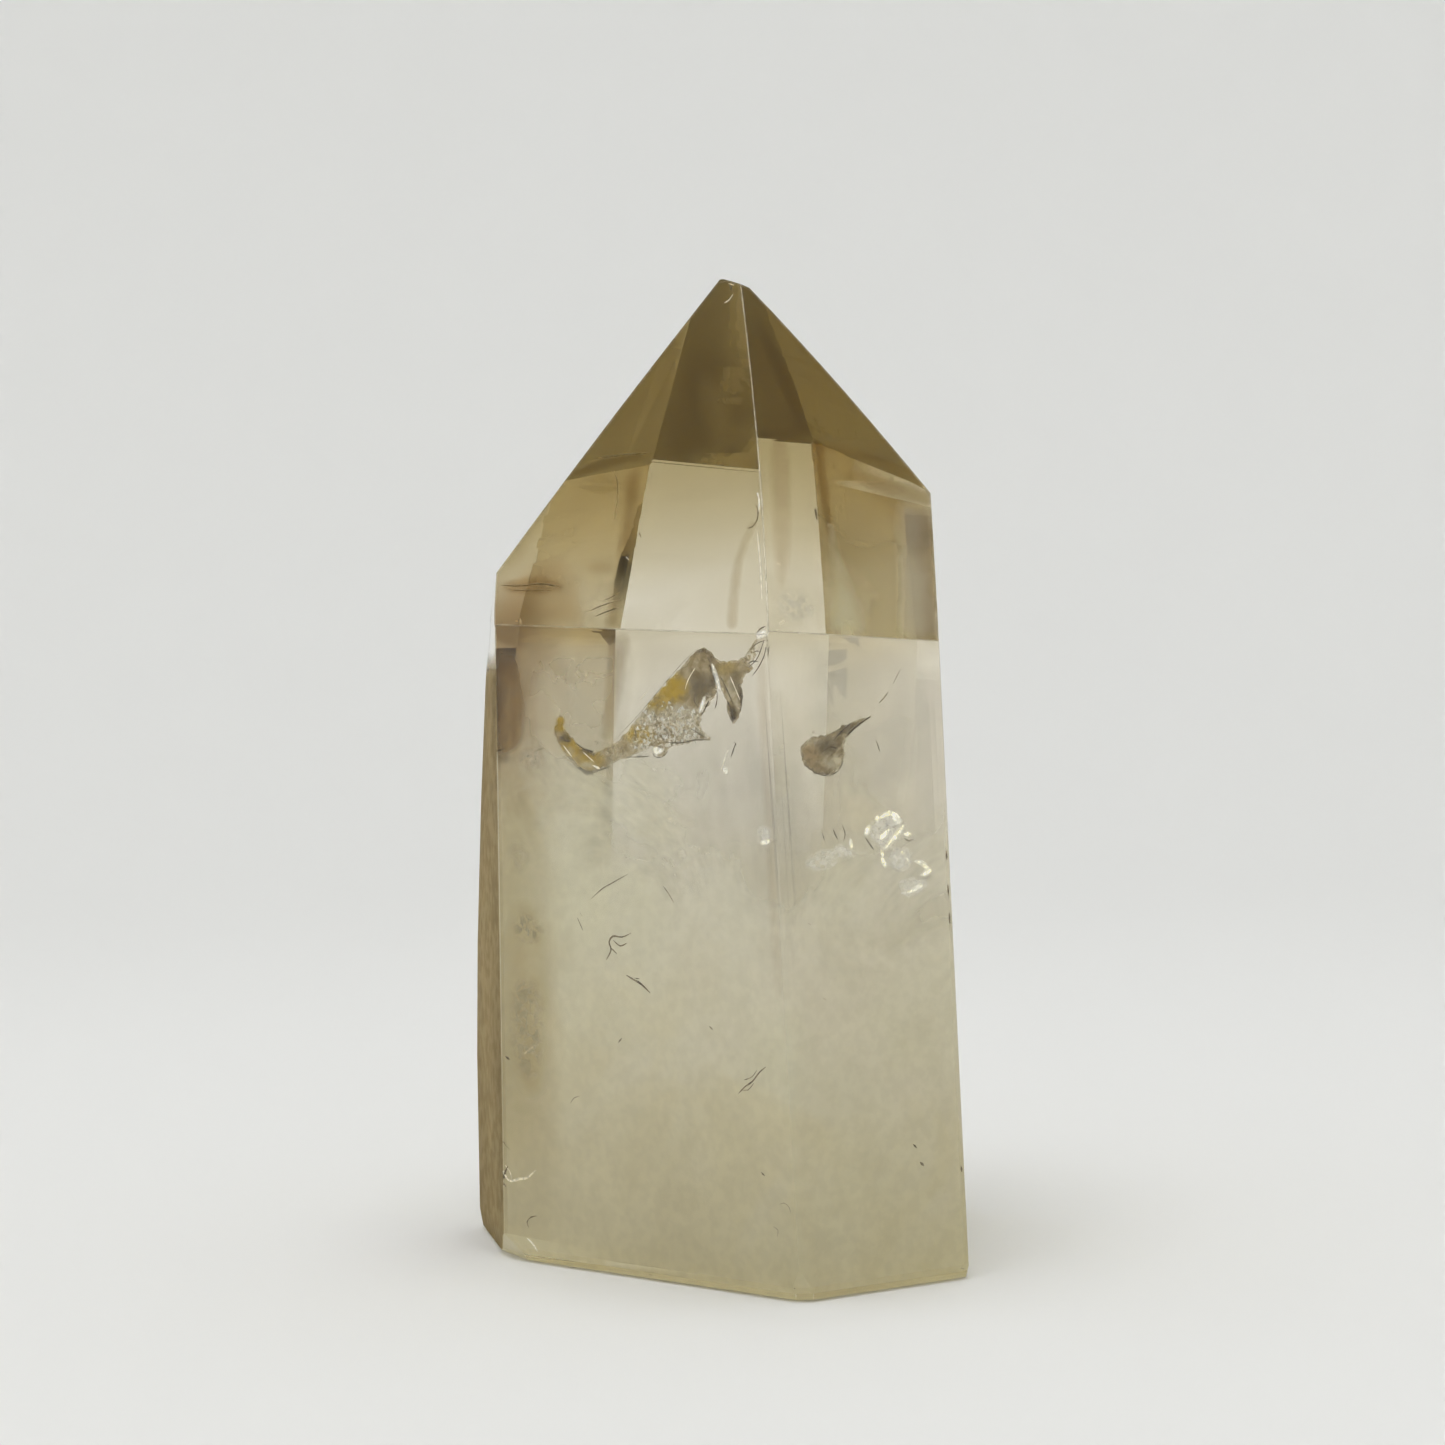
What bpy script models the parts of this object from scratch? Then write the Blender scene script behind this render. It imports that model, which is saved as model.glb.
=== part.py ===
"""Smoky quartz point: one polished, six-sided crystal that stands on its sawn base.

The stone is cut as a lapidary would cut it. A rough block is ground flat on each side of the
prism, on each side of the point, under the base and along the base's edge, and the worn tip and
the worn corners of the base are taken off last. The narrow left side is polished round, so it is
ground in several narrow strips. The polishing wheel left the roof edges very slightly bowed, and
that bow is put in at the end.

Metres, +Z up. The front edge between the two widest visible faces looks along -Y. The origin is
at the middle of the stone's footprint, on the surface that it stands on.
"""

from math import cos, pi, radians, sin, tan
from typing import NamedTuple

import bmesh
import bpy
from mathutils import Vector

MM = 0.001

# Driving dimensions: the whole stone
TIP_HEIGHT = 84.8 * MM  # the worn tip above the table
GIRDLE_HEIGHT = 30 * MM  # where the prism faces' reaches are measured
BLOCK_SIDE = 80 * MM  # the rough block before any face is ground
BLOCK_HEIGHT = 100 * MM

# The base's bevel, ground all round, and the worn places
BEVEL_HEIGHT = 1.0 * MM
BEVEL_INSET = 0.25 * MM
LEFT_BEVEL_HEIGHT = 1.7 * MM  # the narrow left side has a taller bevel
TIP_SLOPE = 24.0  # degrees, the right half of the worn tip
TIP_SLOPE_START = 1.1 * MM  # X where the tip's flat turns down

# The wheel's bow: how far the roof edges stand proud of straight lines
ROOF_BOW_LEFT = 0.22 * MM
ROOF_BOW_RIGHT = 0.34 * MM
FRONT_BOW = 0.35 * MM  # the roof's front edge, towards the right
RIGHT_REACH = 18.4 * MM
LEFT_SHOULDER = 20.6 * MM
ROOF_START = 53.5 * MM  # the front shoulder, where the roof's bows begin
FRONT_EDGE_WIDTH = 2.2 * MM  # how near the middle a corner of the front edge lies
STRIP_HEIGHT = 2.4 * MM  # the bowed faces are made of flat strips this high


class PrismFace(NamedTuple):
    """A side of the prism: where it looks, how far it leans back and how far out it lies."""

    name: str
    compass: float  # degrees round from the front, -Y, towards the right, +X
    lean: float  # degrees that the face's normal looks up
    reach: float  # from the axis, at the girdle


class RoofFace(NamedTuple):
    """A side of the point: where it looks, how steep it is and where it meets the axis."""

    name: str
    compass: float
    tilt: float  # degrees that the face's normal looks up
    peak: float  # height at which the face's plane crosses the axis


class WornCorner(NamedTuple):
    """A chip off a corner of the base, between two neighbouring sides of the prism."""

    left_side: float  # compass of the side to its left, seen from outside
    right_side: float
    up: float  # how far it runs up the corner, above the bevel
    left_run: float  # along the base, under the side to its left
    right_run: float


PRISM_FACES = (
    PrismFace("front left", -37.5, -1.0, 16.9 * MM),
    PrismFace("front right", 28.0, 1.0, 23.9 * MM),
    PrismFace("right", 86.5, 1.5, 19.6 * MM),
    PrismFace("back right", 149.2, -3.1, 22.1 * MM),
    PrismFace("back left", 218.0, 1.0, 20.7 * MM),
    PrismFace("left", 282.8, 0.4, 20.6 * MM),
)
LEFT_STRIPS = (
    PrismFace("left, first strip", 281.2, 1.1, 20.8 * MM),
    PrismFace("left, second strip", 279.4, 1.8, 21.0 * MM),
    PrismFace("left, third strip", 278.2, 2.4, 21.2 * MM),
    PrismFace("left, fourth strip", 277.2, 3.0, 21.35 * MM),
    PrismFace("left, fifth strip", 276.5, 3.8, 21.6 * MM),
    PrismFace("left, top strip", 275.7, 5.8, 22.4 * MM),
)
ROOF_FACES = (
    RoofFace("front left", -36.0, 31.0, 83.4 * MM),
    RoofFace("front right", 31.0, 34.5, 87.6 * MM),
    RoofFace("right", 85.0, 40.0, 87.8 * MM),
    RoofFace("back right", 141.2, 41.0, 87.0 * MM),
    RoofFace("back left", 212.8, 39.1, 88.2 * MM),
    RoofFace("left", 263.2, 37.4, 83.9 * MM),
)
WORN_CORNERS = (
    WornCorner(-37.5, 28.0, 1.6 * MM, 1.2 * MM, 1.6 * MM),
    WornCorner(-77.2, -37.5, 0.4 * MM, 3.6 * MM, 3.4 * MM),
)
APEX_X = 2.0 * MM  # the point leans a little to the right of the axis


def looking(compass, upwards):
    """The direction of a face that looks to a compass bearing and up by some degrees."""
    flat = cos(radians(upwards))
    return Vector(
        (sin(radians(compass)) * flat, -cos(radians(compass)) * flat, sin(radians(upwards)))
    )


def grind(stone, point, normal):
    """Takes away all of the stone on the normal's side of a plane, and closes it flat."""
    geometry = stone.verts[:] + stone.edges[:] + stone.faces[:]
    cut = bmesh.ops.bisect_plane(
        stone, geom=geometry, dist=1e-7, plane_co=point, plane_no=normal, clear_outer=True
    )
    rim = [item for item in cut["geom_cut"] if isinstance(item, bmesh.types.BMEdge)]
    if rim:
        bmesh.ops.contextual_create(stone, geom=rim)


def rough_block():
    """A square block that stands on the table and is larger than the finished stone."""
    stone = bmesh.new()
    bmesh.ops.create_cube(stone, size=1.0)
    bmesh.ops.scale(stone, vec=(BLOCK_SIDE, BLOCK_SIDE, BLOCK_HEIGHT), verts=stone.verts)
    bmesh.ops.translate(stone, vec=(0, 0, BLOCK_HEIGHT / 2), verts=stone.verts)
    return stone


def girdle_point(face):
    """The point of a prism face straight out from the axis, at the girdle."""
    outwards = looking(face.compass, 0)
    return outwards * (face.reach / cos(radians(face.lean))) + Vector((0, 0, GIRDLE_HEIGHT))


def grind_prism(stone):
    """Grinds the six sides of the prism, the left one in strips."""
    for face in PRISM_FACES + LEFT_STRIPS:
        grind(stone, girdle_point(face), looking(face.compass, face.lean))


def grind_roof(stone):
    """Grinds the six sides of the point."""
    for face in ROOF_FACES:
        grind(stone, Vector((0, 0, face.peak)), looking(face.compass, face.tilt))


def wear_tip(stone):
    """Blunts the tip: a level flat on its left, and a slope down on its right."""
    grind(stone, Vector((0, 0, TIP_HEIGHT)), Vector((0, 0, 1)))
    turn = Vector((TIP_SLOPE_START, 0, TIP_HEIGHT))
    grind(stone, turn, Vector((sin(radians(TIP_SLOPE)), 0, cos(radians(TIP_SLOPE)))))


def bevel_base(stone):
    """Grinds a narrow bevel along the bottom of each side of the prism."""
    for face in PRISM_FACES:
        height = LEFT_BEVEL_HEIGHT if face.name == "left" else BEVEL_HEIGHT
        drop = GIRDLE_HEIGHT - height
        outwards = looking(face.compass, 0)
        reach = face.reach / cos(radians(face.lean)) + drop * tan(radians(face.lean))
        top = outwards * reach + Vector((0, 0, height))
        grind(stone, top, outwards * height - Vector((0, 0, BEVEL_INSET)))


def chip_corner(stone, worn):
    """Takes a small three-sided chip off a corner of the base."""
    middle = looking((worn.left_side + worn.right_side) / 2, 0)
    corner = max(
        (vert for vert in stone.verts if BEVEL_HEIGHT - 1e-5 < vert.co.z < LEFT_BEVEL_HEIGHT + 1e-5),
        key=lambda vert: vert.co.dot(middle),
    ).co.copy()
    up = corner + Vector((0, 0, worn.up))
    left = corner + looking(worn.left_side - 90, 0) * worn.left_run
    right = corner + looking(worn.right_side + 90, 0) * worn.right_run
    left.z = right.z = 0
    normal = (left - up).cross(right - up).normalized()
    if normal.dot(middle) < 0:
        normal.negate()
    grind(stone, up, normal)


def wear_corners(stone):
    """Chips the worn corners of the base."""
    for worn in WORN_CORNERS:
        chip_corner(stone, worn)


def slice_level(stone):
    """Divides the stone into level strips, so that the roof can follow the bow."""
    for step in range(1, int(TIP_HEIGHT / STRIP_HEIGHT)):
        geometry = stone.verts[:] + stone.edges[:] + stone.faces[:]
        height = Vector((0, 0, step * STRIP_HEIGHT))
        bmesh.ops.bisect_plane(
            stone, geom=geometry, dist=1e-7, plane_co=height, plane_no=Vector((0, 0, 1))
        )


def roof_bow(place):
    """How far the roof stands out sideways at a place on the stone."""
    if place.z < ROOF_START:
        return 0.0
    out = place.x - APEX_X
    if abs(out) < FRONT_EDGE_WIDTH and place.y < 0:
        share = (place.z - ROOF_START) / (TIP_HEIGHT - ROOF_START)
        return FRONT_BOW * sin(pi * share)
    if out < 0:
        share = min(-out / (LEFT_SHOULDER + APEX_X), 1)
        return -ROOF_BOW_LEFT * sin(pi * share)
    share = min(out / (RIGHT_REACH - APEX_X), 1)
    return ROOF_BOW_RIGHT * sin(pi * share)


def bow(stone):
    """Moves each corner sideways by the bow left by the polishing wheel."""
    for vert in stone.verts:
        vert.co.x += roof_bow(vert.co)


def centre_on_table(stone):
    """Puts the middle of the footprint at the origin, and the base on the table."""
    spots = [vert.co for vert in stone.verts]
    middle_x = (min(spot.x for spot in spots) + max(spot.x for spot in spots)) / 2
    middle_y = (min(spot.y for spot in spots) + max(spot.y for spot in spots)) / 2
    bottom = min(spot.z for spot in spots)
    bmesh.ops.translate(stone, vec=(-middle_x, -middle_y, -bottom), verts=stone.verts)


def smoky_quartz():
    """Clear quartz with a weak grey-brown smoke."""
    material = bpy.data.materials.new("smoky_quartz")
    material.use_nodes = True
    shader = material.node_tree.nodes["Principled BSDF"]
    shader.inputs["Base Color"].default_value = (0.62, 0.56, 0.40, 1)
    shader.inputs["Roughness"].default_value = 0.03
    shader.inputs["Metallic"].default_value = 0.0
    shader.inputs["IOR"].default_value = 1.544
    shader.inputs["Transmission Weight"].default_value = 1.0
    material.diffuse_color = (0.62, 0.56, 0.40, 1)
    return material


def crystal_point(collection):
    """The whole stone, as one object."""
    stone = rough_block()
    grind_prism(stone)
    grind_roof(stone)
    wear_tip(stone)
    bevel_base(stone)
    wear_corners(stone)
    slice_level(stone)
    bow(stone)
    centre_on_table(stone)
    bmesh.ops.remove_doubles(stone, verts=stone.verts, dist=1e-6)
    bmesh.ops.triangulate(stone, faces=stone.faces)
    bmesh.ops.recalc_face_normals(stone, faces=stone.faces)
    mesh = bpy.data.meshes.new("crystal_point")
    stone.to_mesh(mesh)
    stone.free()
    mesh.materials.append(smoky_quartz())
    crystal = bpy.data.objects.new("crystal_point", mesh)
    collection.objects.link(crystal)
    return crystal


def main():
    """Clears the scene and makes the stone."""
    for old in list(bpy.data.objects):
        bpy.data.objects.remove(old, do_unlink=True)
    collection = bpy.data.collections.new("smoky_quartz_point")
    bpy.context.scene.collection.children.link(collection)
    crystal_point(collection)


main()
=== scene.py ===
"""Looks of a polished smoky quartz point: the clear stone, and all that is sealed in it.

Metres, +Z up. The stone stands on the floor at the origin, and its front edge looks along -Y.
A place inside the stone is given as the camera sees it: a spot in the camera's square frame, in
pixels from the top left corner, and how far behind the stone's skin it lies there.
"""

import logging
from collections.abc import Iterable
from dataclasses import dataclass, replace
from enum import Enum
from math import cos, hypot, pi, radians, sin, sqrt, tau
from random import Random

import bmesh
import bpy
from bpy.types import ID, Material, Mesh, Node, NodeSocket, NodeTree, Object
from mathutils import Matrix, Vector, noise
from mathutils.bvhtree import BVHTree
from mathutils.geometry import delaunay_2d_cdt


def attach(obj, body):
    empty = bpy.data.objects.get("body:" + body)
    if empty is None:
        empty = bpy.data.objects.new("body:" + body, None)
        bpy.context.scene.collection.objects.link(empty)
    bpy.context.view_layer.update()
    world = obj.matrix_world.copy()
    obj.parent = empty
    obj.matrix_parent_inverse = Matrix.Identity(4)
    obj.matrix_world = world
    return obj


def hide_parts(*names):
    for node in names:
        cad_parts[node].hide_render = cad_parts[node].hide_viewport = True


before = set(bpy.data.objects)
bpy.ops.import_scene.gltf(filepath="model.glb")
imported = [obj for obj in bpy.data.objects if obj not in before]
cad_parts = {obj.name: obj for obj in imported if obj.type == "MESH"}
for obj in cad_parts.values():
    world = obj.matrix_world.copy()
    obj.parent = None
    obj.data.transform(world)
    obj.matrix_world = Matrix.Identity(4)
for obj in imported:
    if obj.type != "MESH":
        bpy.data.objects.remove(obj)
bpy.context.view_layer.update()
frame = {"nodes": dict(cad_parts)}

Spot = tuple[float, float]
Span = tuple[float, float]
Axes = tuple[float, float, float]
Colour = tuple[float, float, float]
Outline = tuple[Spot, ...]

MM = 0.001
QUARTZ_BEND = 1.544  # index of refraction of quartz
SKIN_GAP = 0.3 * MM  # the least depth of anything sealed in the stone
SHALLOW = 0.36  # millimetres behind the skin, just before the milk
WHITE: Colour = (1, 1, 1)

log = logging.getLogger("smoky_quartz")


class Slot(Enum):
    """The material slots."""

    QUARTZ = "quartz"
    MILK = "milk"
    RUST = "rust"
    FLASH = "flash"
    FLECK = "fleck"


class Tone(Enum):
    """What colours a patch of a healed crack."""

    OCHRE = "ochre"
    PITCH = "pitch"
    PALE = "pale"
    BARE = "bare"


# ----------------------------------------------------------------------------------- node trees


@dataclass(frozen=True)
class Cloud:
    """Soft patches of noise, and how the middle of its range is spread out."""

    scale: float
    detail: float = 3.0
    twist: float = 0.0
    low: float = 0.35  # noise that becomes the least
    high: float = 0.65  # noise that becomes the most
    least: float = 0.0
    most: float = 1.0
    stretch: Axes = (1, 1, 1)
    turn: Axes = (0, 0, 0)
    shift: Axes = (0, 0, 0)


class Graph:
    """A node tree, with short ways to add its nodes and join them."""

    def __init__(self, tree: NodeTree) -> None:
        """Keeps the tree that the nodes go into."""
        self.tree = tree

    def feed(self, socket: NodeSocket, value: object) -> None:
        """Links an input, or sets its value.

        Args:
            socket: the input.
            value: a socket or a node, whose first output is used, or a plain value.
        """
        if isinstance(value, Node):
            value = value.outputs[0]
        if isinstance(value, NodeSocket):
            self.tree.links.new(value, socket)
        elif socket.type == "RGBA":
            socket.default_value = (*value, 1.0)
        else:
            socket.default_value = value

    def add(self, kind: str, inputs: dict[str | int, object] | None = None, **settings: object) -> Node:
        """Adds a node.

        Args:
            kind: the node's type.
            inputs: what goes into its inputs, by their name or number.
            **settings: the node's own properties.

        Returns:
            The new node.
        """
        node = self.tree.nodes.new(kind)
        for name, value in settings.items():
            setattr(node, name, value)
        for name, value in (inputs or {}).items():
            self.feed(node.inputs[name], value)
        return node

    def maths(self, operation: str, first: object, second: object, clamp: bool = False) -> Node:
        """The result of a sum on two numbers."""
        return self.add("ShaderNodeMath", {0: first, 1: second}, operation=operation, use_clamp=clamp)

    def times(self, first: object, second: object, clamp: bool = False) -> Node:
        """One number times another."""
        return self.maths("MULTIPLY", first, second, clamp)

    def plus(self, first: object, second: object) -> Node:
        """One number plus another."""
        return self.maths("ADD", first, second)

    def spread(self, value: object, low: float, high: float, least: float = 0.0, most: float = 1.0) -> Node:
        """A number carried over smoothly from one range to another, and held at its ends."""
        ends = {"Value": value, "From Min": low, "From Max": high, "To Min": least, "To Max": most}
        return self.add("ShaderNodeMapRange", ends, interpolation_type="SMOOTHSTEP")

    def noise(self, cloud: Cloud) -> Node:
        """A cloud's plain noise, as a number round a half.

        Args:
            cloud: the patches' size, turn and place.

        Returns:
            The noise node.
        """
        place = self.add("ShaderNodeTexCoord").outputs["Object"]
        if any(cloud.turn):
            place = self.add("ShaderNodeMapping", {"Vector": place, "Rotation": cloud.turn})
        ends = {"Vector": place, "Location": cloud.shift, "Scale": cloud.stretch}
        grain = {"Scale": cloud.scale, "Detail": cloud.detail, "Distortion": cloud.twist}
        return self.add("ShaderNodeTexNoise", {"Vector": self.add("ShaderNodeMapping", ends)} | grain)

    def cloud(self, cloud: Cloud) -> Node:
        """A cloud's soft patches."""
        return self.spread(self.noise(cloud), cloud.low, cloud.high, cloud.least, cloud.most)

    def axis(self, name: str, of: str = "Object") -> NodeSocket:
        """The place on the piece along one axis in metres, or that part of its normal."""
        spot = self.add("ShaderNodeTexCoord").outputs[of]
        return self.add("ShaderNodeSeparateXYZ", {0: spot}).outputs[name]

    def mark(self, name: str) -> NodeSocket:
        """A number that the piece's points carry."""
        return self.add("ShaderNodeAttribute", attribute_name=name).outputs["Fac"]

    def mix(self, share: object, first: object, second: object) -> NodeSocket:
        """A blend of two colours."""
        return self.add("ShaderNodeMix", {0: share, 6: first, 7: second}, data_type="RGBA").outputs[2]

    def clear(self, tint: object = WHITE) -> Node:
        """A layer that only tints what is seen through it."""
        return self.add("ShaderNodeBsdfTransparent", {"Color": tint})

    def matt(self, colour: object, through: float = 0.5) -> Node:
        """A thin matt layer that lets a share of the light through.

        Args:
            colour: its colour, or what makes it.
            through: that share.

        Returns:
            The layer.
        """
        front = self.add("ShaderNodeBsdfDiffuse", {"Color": colour})
        back = self.add("ShaderNodeBsdfTranslucent", {"Color": colour})
        return self.over(through, back, front)

    def over(self, share: object, above: Node, below: Node | None = None) -> Node:
        """A layer that covers a share of another one, or of nothing."""
        below = self.clear() if below is None else below
        return self.add("ShaderNodeMixShader", {0: share, 1: below, 2: above})


# ------------------------------------------------------------------------------------- finishes


@dataclass(frozen=True)
class Finish:
    """A finish: what a piece's surface does to the light, and what its inside does."""

    name: str

    def surface(self, graph: Graph) -> Node:
        """Builds the surface, which is clear where a finish doesn't say more."""
        return graph.clear()

    def inside(self, graph: Graph) -> Node | None:
        """Builds the inside, which is empty where a finish doesn't say more."""
        return None

    def material(self) -> Material:
        """Makes the finish's material.

        Returns:
            The material.
        """
        material = bpy.data.materials.new(self.name)
        material.use_nodes = True
        material.node_tree.nodes.clear()
        material.cycles.emission_sampling = "NONE"  # no glow here is a lamp to be aimed at
        graph = Graph(material.node_tree)
        output = graph.add("ShaderNodeOutputMaterial", {"Surface": self.surface(graph)})
        inside = self.inside(graph)
        if inside is not None:
            graph.feed(output.inputs["Volume"], inside)
        return material


@dataclass(frozen=True)
class SmokyQuartz(Finish):
    """Clear polished quartz with a grey-brown smoke, and the faint waves of a hand-held polish."""

    name: str = "smoky_quartz"
    smoke: Colour = (0.80, 0.68, 0.35)
    smoke_depth: float = 13.5
    roughness: float = 0.008
    waves: Cloud = Cloud(60.0, 1)
    wave_height: float = 0.06 * MM

    def surface(self, graph: Graph) -> Node:
        """Builds the polish."""
        height = {"Height": graph.noise(self.waves), "Strength": 1.0, "Distance": self.wave_height}
        return graph.add(
            "ShaderNodeBsdfPrincipled",
            {
                "Base Color": WHITE,
                "Roughness": self.roughness,
                "Transmission Weight": 1.0,
                "IOR": QUARTZ_BEND,
                "Normal": graph.add("ShaderNodeBump", height),
            },
        )

    def inside(self, graph: Graph) -> Node:
        """Builds the smoke all through the stone."""
        return graph.add("ShaderNodeVolumeAbsorption", {"Color": self.smoke, "Density": self.smoke_depth})


VEIL_SHIFT: Axes = (0.37, 0.71, 0.53)


@dataclass(frozen=True)
class Veil(Finish):
    """A curved veil of fine bubbles: drifts and curds of pale cloud, denser towards the base."""

    name: str = "milk"
    cover: float = 0.56
    reach: Span = (46 * MM, 30 * MM)  # heights where it starts and where it is full
    steep: Span = (0.85, 0.6)  # Z of the normals of the top, which is bare, and of the sides
    drifts: Cloud = Cloud(70.0, 5, 0.8, 0.36, 0.64, shift=VEIL_SHIFT)
    drift: float = 12 * MM  # how far up and down the drifts reach
    right_drop: float = 0.30  # how much lower it starts to the right
    curds: Cloud = Cloud(210.0, 5, 0.5, 0.34, 0.66, shift=VEIL_SHIFT)
    curd_depth: float = 0.08  # how much the curds vary the cover
    grains: Cloud = Cloud(1100.0, 3, 0.0, 0.36, 0.64, 0.97, 1.03, shift=VEIL_SHIFT)
    glow: float = 0.16  # stands for the light that goes round and round in the milk
    hues: Cloud = Cloud(55.0, 2, shift=VEIL_SHIFT)
    beige: Colour = (0.99, 0.97, 0.85)
    olive: Colour = (0.975, 0.97, 0.79)
    blushes: Cloud = Cloud(60.0, 2, 0.0, 0.54, 0.70, 0.0, 0.7, stretch=(1, 1, 0.6))
    blush: Colour = (0.99, 0.95, 0.85)
    straw_reach: Span = (28 * MM, 2 * MM)
    straw_share: float = 0.95
    straw: Colour = (0.95, 0.90, 0.65)
    # painted shade: base_shade darkens and yellows the foot
    base_shade: Colour = (0.795, 0.765, 0.65)  # the tint of the darker, yellower foot
    shade_reach: Span = (24 * MM, 2 * MM)
    shade_across: Span = (-13 * MM, -4 * MM)
    left_share: float = 0.35  # how much of that shade the left has
    # painted shade: right_shade darkens and yellows the lower right
    right_shade: Colour = (0.83, 0.81, 0.67)
    right_across: Span = (2 * MM, 17 * MM)
    right_reach: Span = (36 * MM, 14 * MM)

    def surface(self, graph: Graph) -> Node:
        """Builds the drifts, their colours, a painted glow and the painted shade of the foot and the lower
        right.

        Args:
            graph: the material's node tree.

        Returns:
            The surface's last node.
        """
        height, across = graph.axis("Z"), graph.axis("X")
        drifts = graph.times(graph.plus(graph.cloud(self.drifts), -0.5), self.drift)
        wavy = graph.plus(graph.plus(height, drifts), graph.times(across, self.right_drop))
        cover = graph.spread(wavy, *self.reach, 0.0, self.cover)
        cover = graph.times(cover, graph.spread(graph.axis("Z", "Normal"), *self.steep))
        soft = graph.plus(graph.times(graph.cloud(self.curds), self.curd_depth), 1 - self.curd_depth / 2)
        share = graph.times(cover, graph.times(soft, graph.cloud(self.grains)), clamp=True)
        tint = graph.mix(graph.cloud(self.hues), self.beige, self.olive)
        tint = graph.mix(graph.cloud(self.blushes), tint, self.blush)
        tint = graph.mix(graph.spread(wavy, *self.straw_reach, 0.0, self.straw_share), tint, self.straw)
        foot = graph.spread(across, *self.shade_across, self.left_share, 1.0)
        foot = graph.times(graph.spread(height, *self.shade_reach), foot)
        film = graph.mix(foot, WHITE, self.base_shade)
        right = graph.times(graph.spread(across, *self.right_across), graph.spread(height, *self.right_reach))
        film = graph.mix(right, film, self.right_shade)
        shine = graph.add("ShaderNodeEmission", {"Color": tint, "Strength": self.glow})
        cloud = graph.add("ShaderNodeAddShader", {0: graph.matt(tint), 1: shine})
        return graph.over(share, cloud, graph.clear(film))


@dataclass(frozen=True)
class Milk(Finish):
    """A cloud of very fine bubbles, with no skin at all."""

    density: float
    tint: Colour = (0.996, 0.988, 0.935)
    forward: float = 0.6

    def inside(self, graph: Graph) -> Node:
        """Builds the cloud."""
        sizes = {"Color": self.tint, "Anisotropy": self.forward, "Density": self.density}
        return graph.add("ShaderNodeVolumeScatter", sizes)


@dataclass(frozen=True)
class TipSmoke(Finish):
    """The deeper smoke that grew in the tip last: only a tint in the stone, with no skin."""

    depth: float
    colour: Colour = (0.55, 0.425, 0.0)

    def inside(self, graph: Graph) -> Node:
        """Builds the smoke."""
        return graph.add("ShaderNodeVolumeAbsorption", {"Color": self.colour, "Density": self.depth})


@dataclass(frozen=True)
class BrownMargin(Finish):
    """A tea-brown film under the left of the stone, deepest at its upper left, fading inwards."""

    name: str = "left_film"
    deep: Colour = (0.63, 0.545, 0.42)
    mild: Colour = (0.85, 0.815, 0.73)
    deep_above: Span = (38 * MM, 49 * MM)
    deep_below: Span = (60 * MM, 54 * MM)
    fade: Span = (-11.5 * MM, -18.5 * MM)  # X where it starts and where it is full
    foot: Span = (4 * MM, 18 * MM)  # it is weaker below this height
    foot_share: float = 0.35
    patches: Cloud = Cloud(170.0, 4, 0.6, stretch=(1, 1, 0.5))
    patch_drift: float = 7.0 * MM  # how far the patches push its border about

    def surface(self, graph: Graph) -> Node:
        """Builds the film.

        Args:
            graph: the material's node tree.

        Returns:
            The surface's last node.
        """
        height = graph.axis("Z")
        push = graph.times(graph.plus(graph.noise(self.patches), -0.5), self.patch_drift)
        share = graph.spread(graph.plus(graph.axis("X"), push), *self.fade)
        share = graph.times(share, graph.spread(height, *self.foot, self.foot_share, 1.0))
        depth = graph.times(graph.spread(height, *self.deep_above), graph.spread(height, *self.deep_below))
        return graph.clear(graph.mix(share, WHITE, graph.mix(depth, self.mild, self.deep)))


@dataclass(frozen=True)
class Crust(Finish):
    """A thin matt brown crust, through which the stone still shows."""

    name: str = "left_crust"
    dark: Colour = (0.52, 0.42, 0.25)
    light: Colour = (0.63, 0.53, 0.33)
    speckle: Cloud = Cloud(750.0)
    cover: float = 0.82
    patches: Cloud = Cloud(75.0, 3, 0.4, 0.34, 0.66, stretch=(1, 1, 0.8))
    patchy: Span = (0.85, 1.1)  # how much the patches vary the cover
    top: Span = (52.7 * MM, 49.5 * MM)  # heights where it ends and where it is full
    through: float = 0.55

    def surface(self, graph: Graph) -> Node:
        """Builds the crust.

        Args:
            graph: the material's node tree.

        Returns:
            The surface's last node.
        """
        colour = graph.mix(graph.cloud(self.speckle), self.dark, self.light)
        cover = graph.spread(graph.cloud(self.patches), 0.0, 1.0, *self.patchy)
        cover = graph.times(cover, self.cover, clamp=True)
        cover = graph.times(cover, graph.spread(graph.axis("Z"), *self.top))
        return graph.over(cover, graph.matt(colour, self.through))


@dataclass(frozen=True)
class Wisps(Finish):
    """Fine pale wisps that hang in the clear part of the stone above the milk."""

    seed: float
    cover: float
    fine_scale: float = 420.0
    wide_scale: float = 120.0
    lean: float = 0.30  # how far they lean over, in radians
    long: float = 0.22  # scale along them, as a share of the scale across
    colour: Colour = (0.97, 0.96, 0.90)
    low: Span = (22 * MM, 32 * MM)  # heights at which they start
    high: Span = (52 * MM, 40 * MM)  # heights at which they end

    def surface(self, graph: Graph) -> Node:
        """Builds the wisps: fine ones where there are wide ones.

        Args:
            graph: the material's node tree.

        Returns:
            The surface's last node.
        """
        long = {"stretch": (1, 1, self.long), "turn": (0, self.lean, self.seed)}
        fine = graph.cloud(Cloud(self.fine_scale, 3, 0.1, 0.34, 0.76, **long))
        wide = graph.cloud(Cloud(self.wide_scale, 3, 0.2, 0.34, 0.72, **long))
        share = graph.times(graph.plus(graph.times(fine, wide), wide), 0.5)
        for limits in (self.low, self.high):
            share = graph.times(share, graph.spread(graph.axis("Z"), *limits))
        return graph.over(graph.times(share, self.cover, clamp=True), graph.matt(self.colour))


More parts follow.
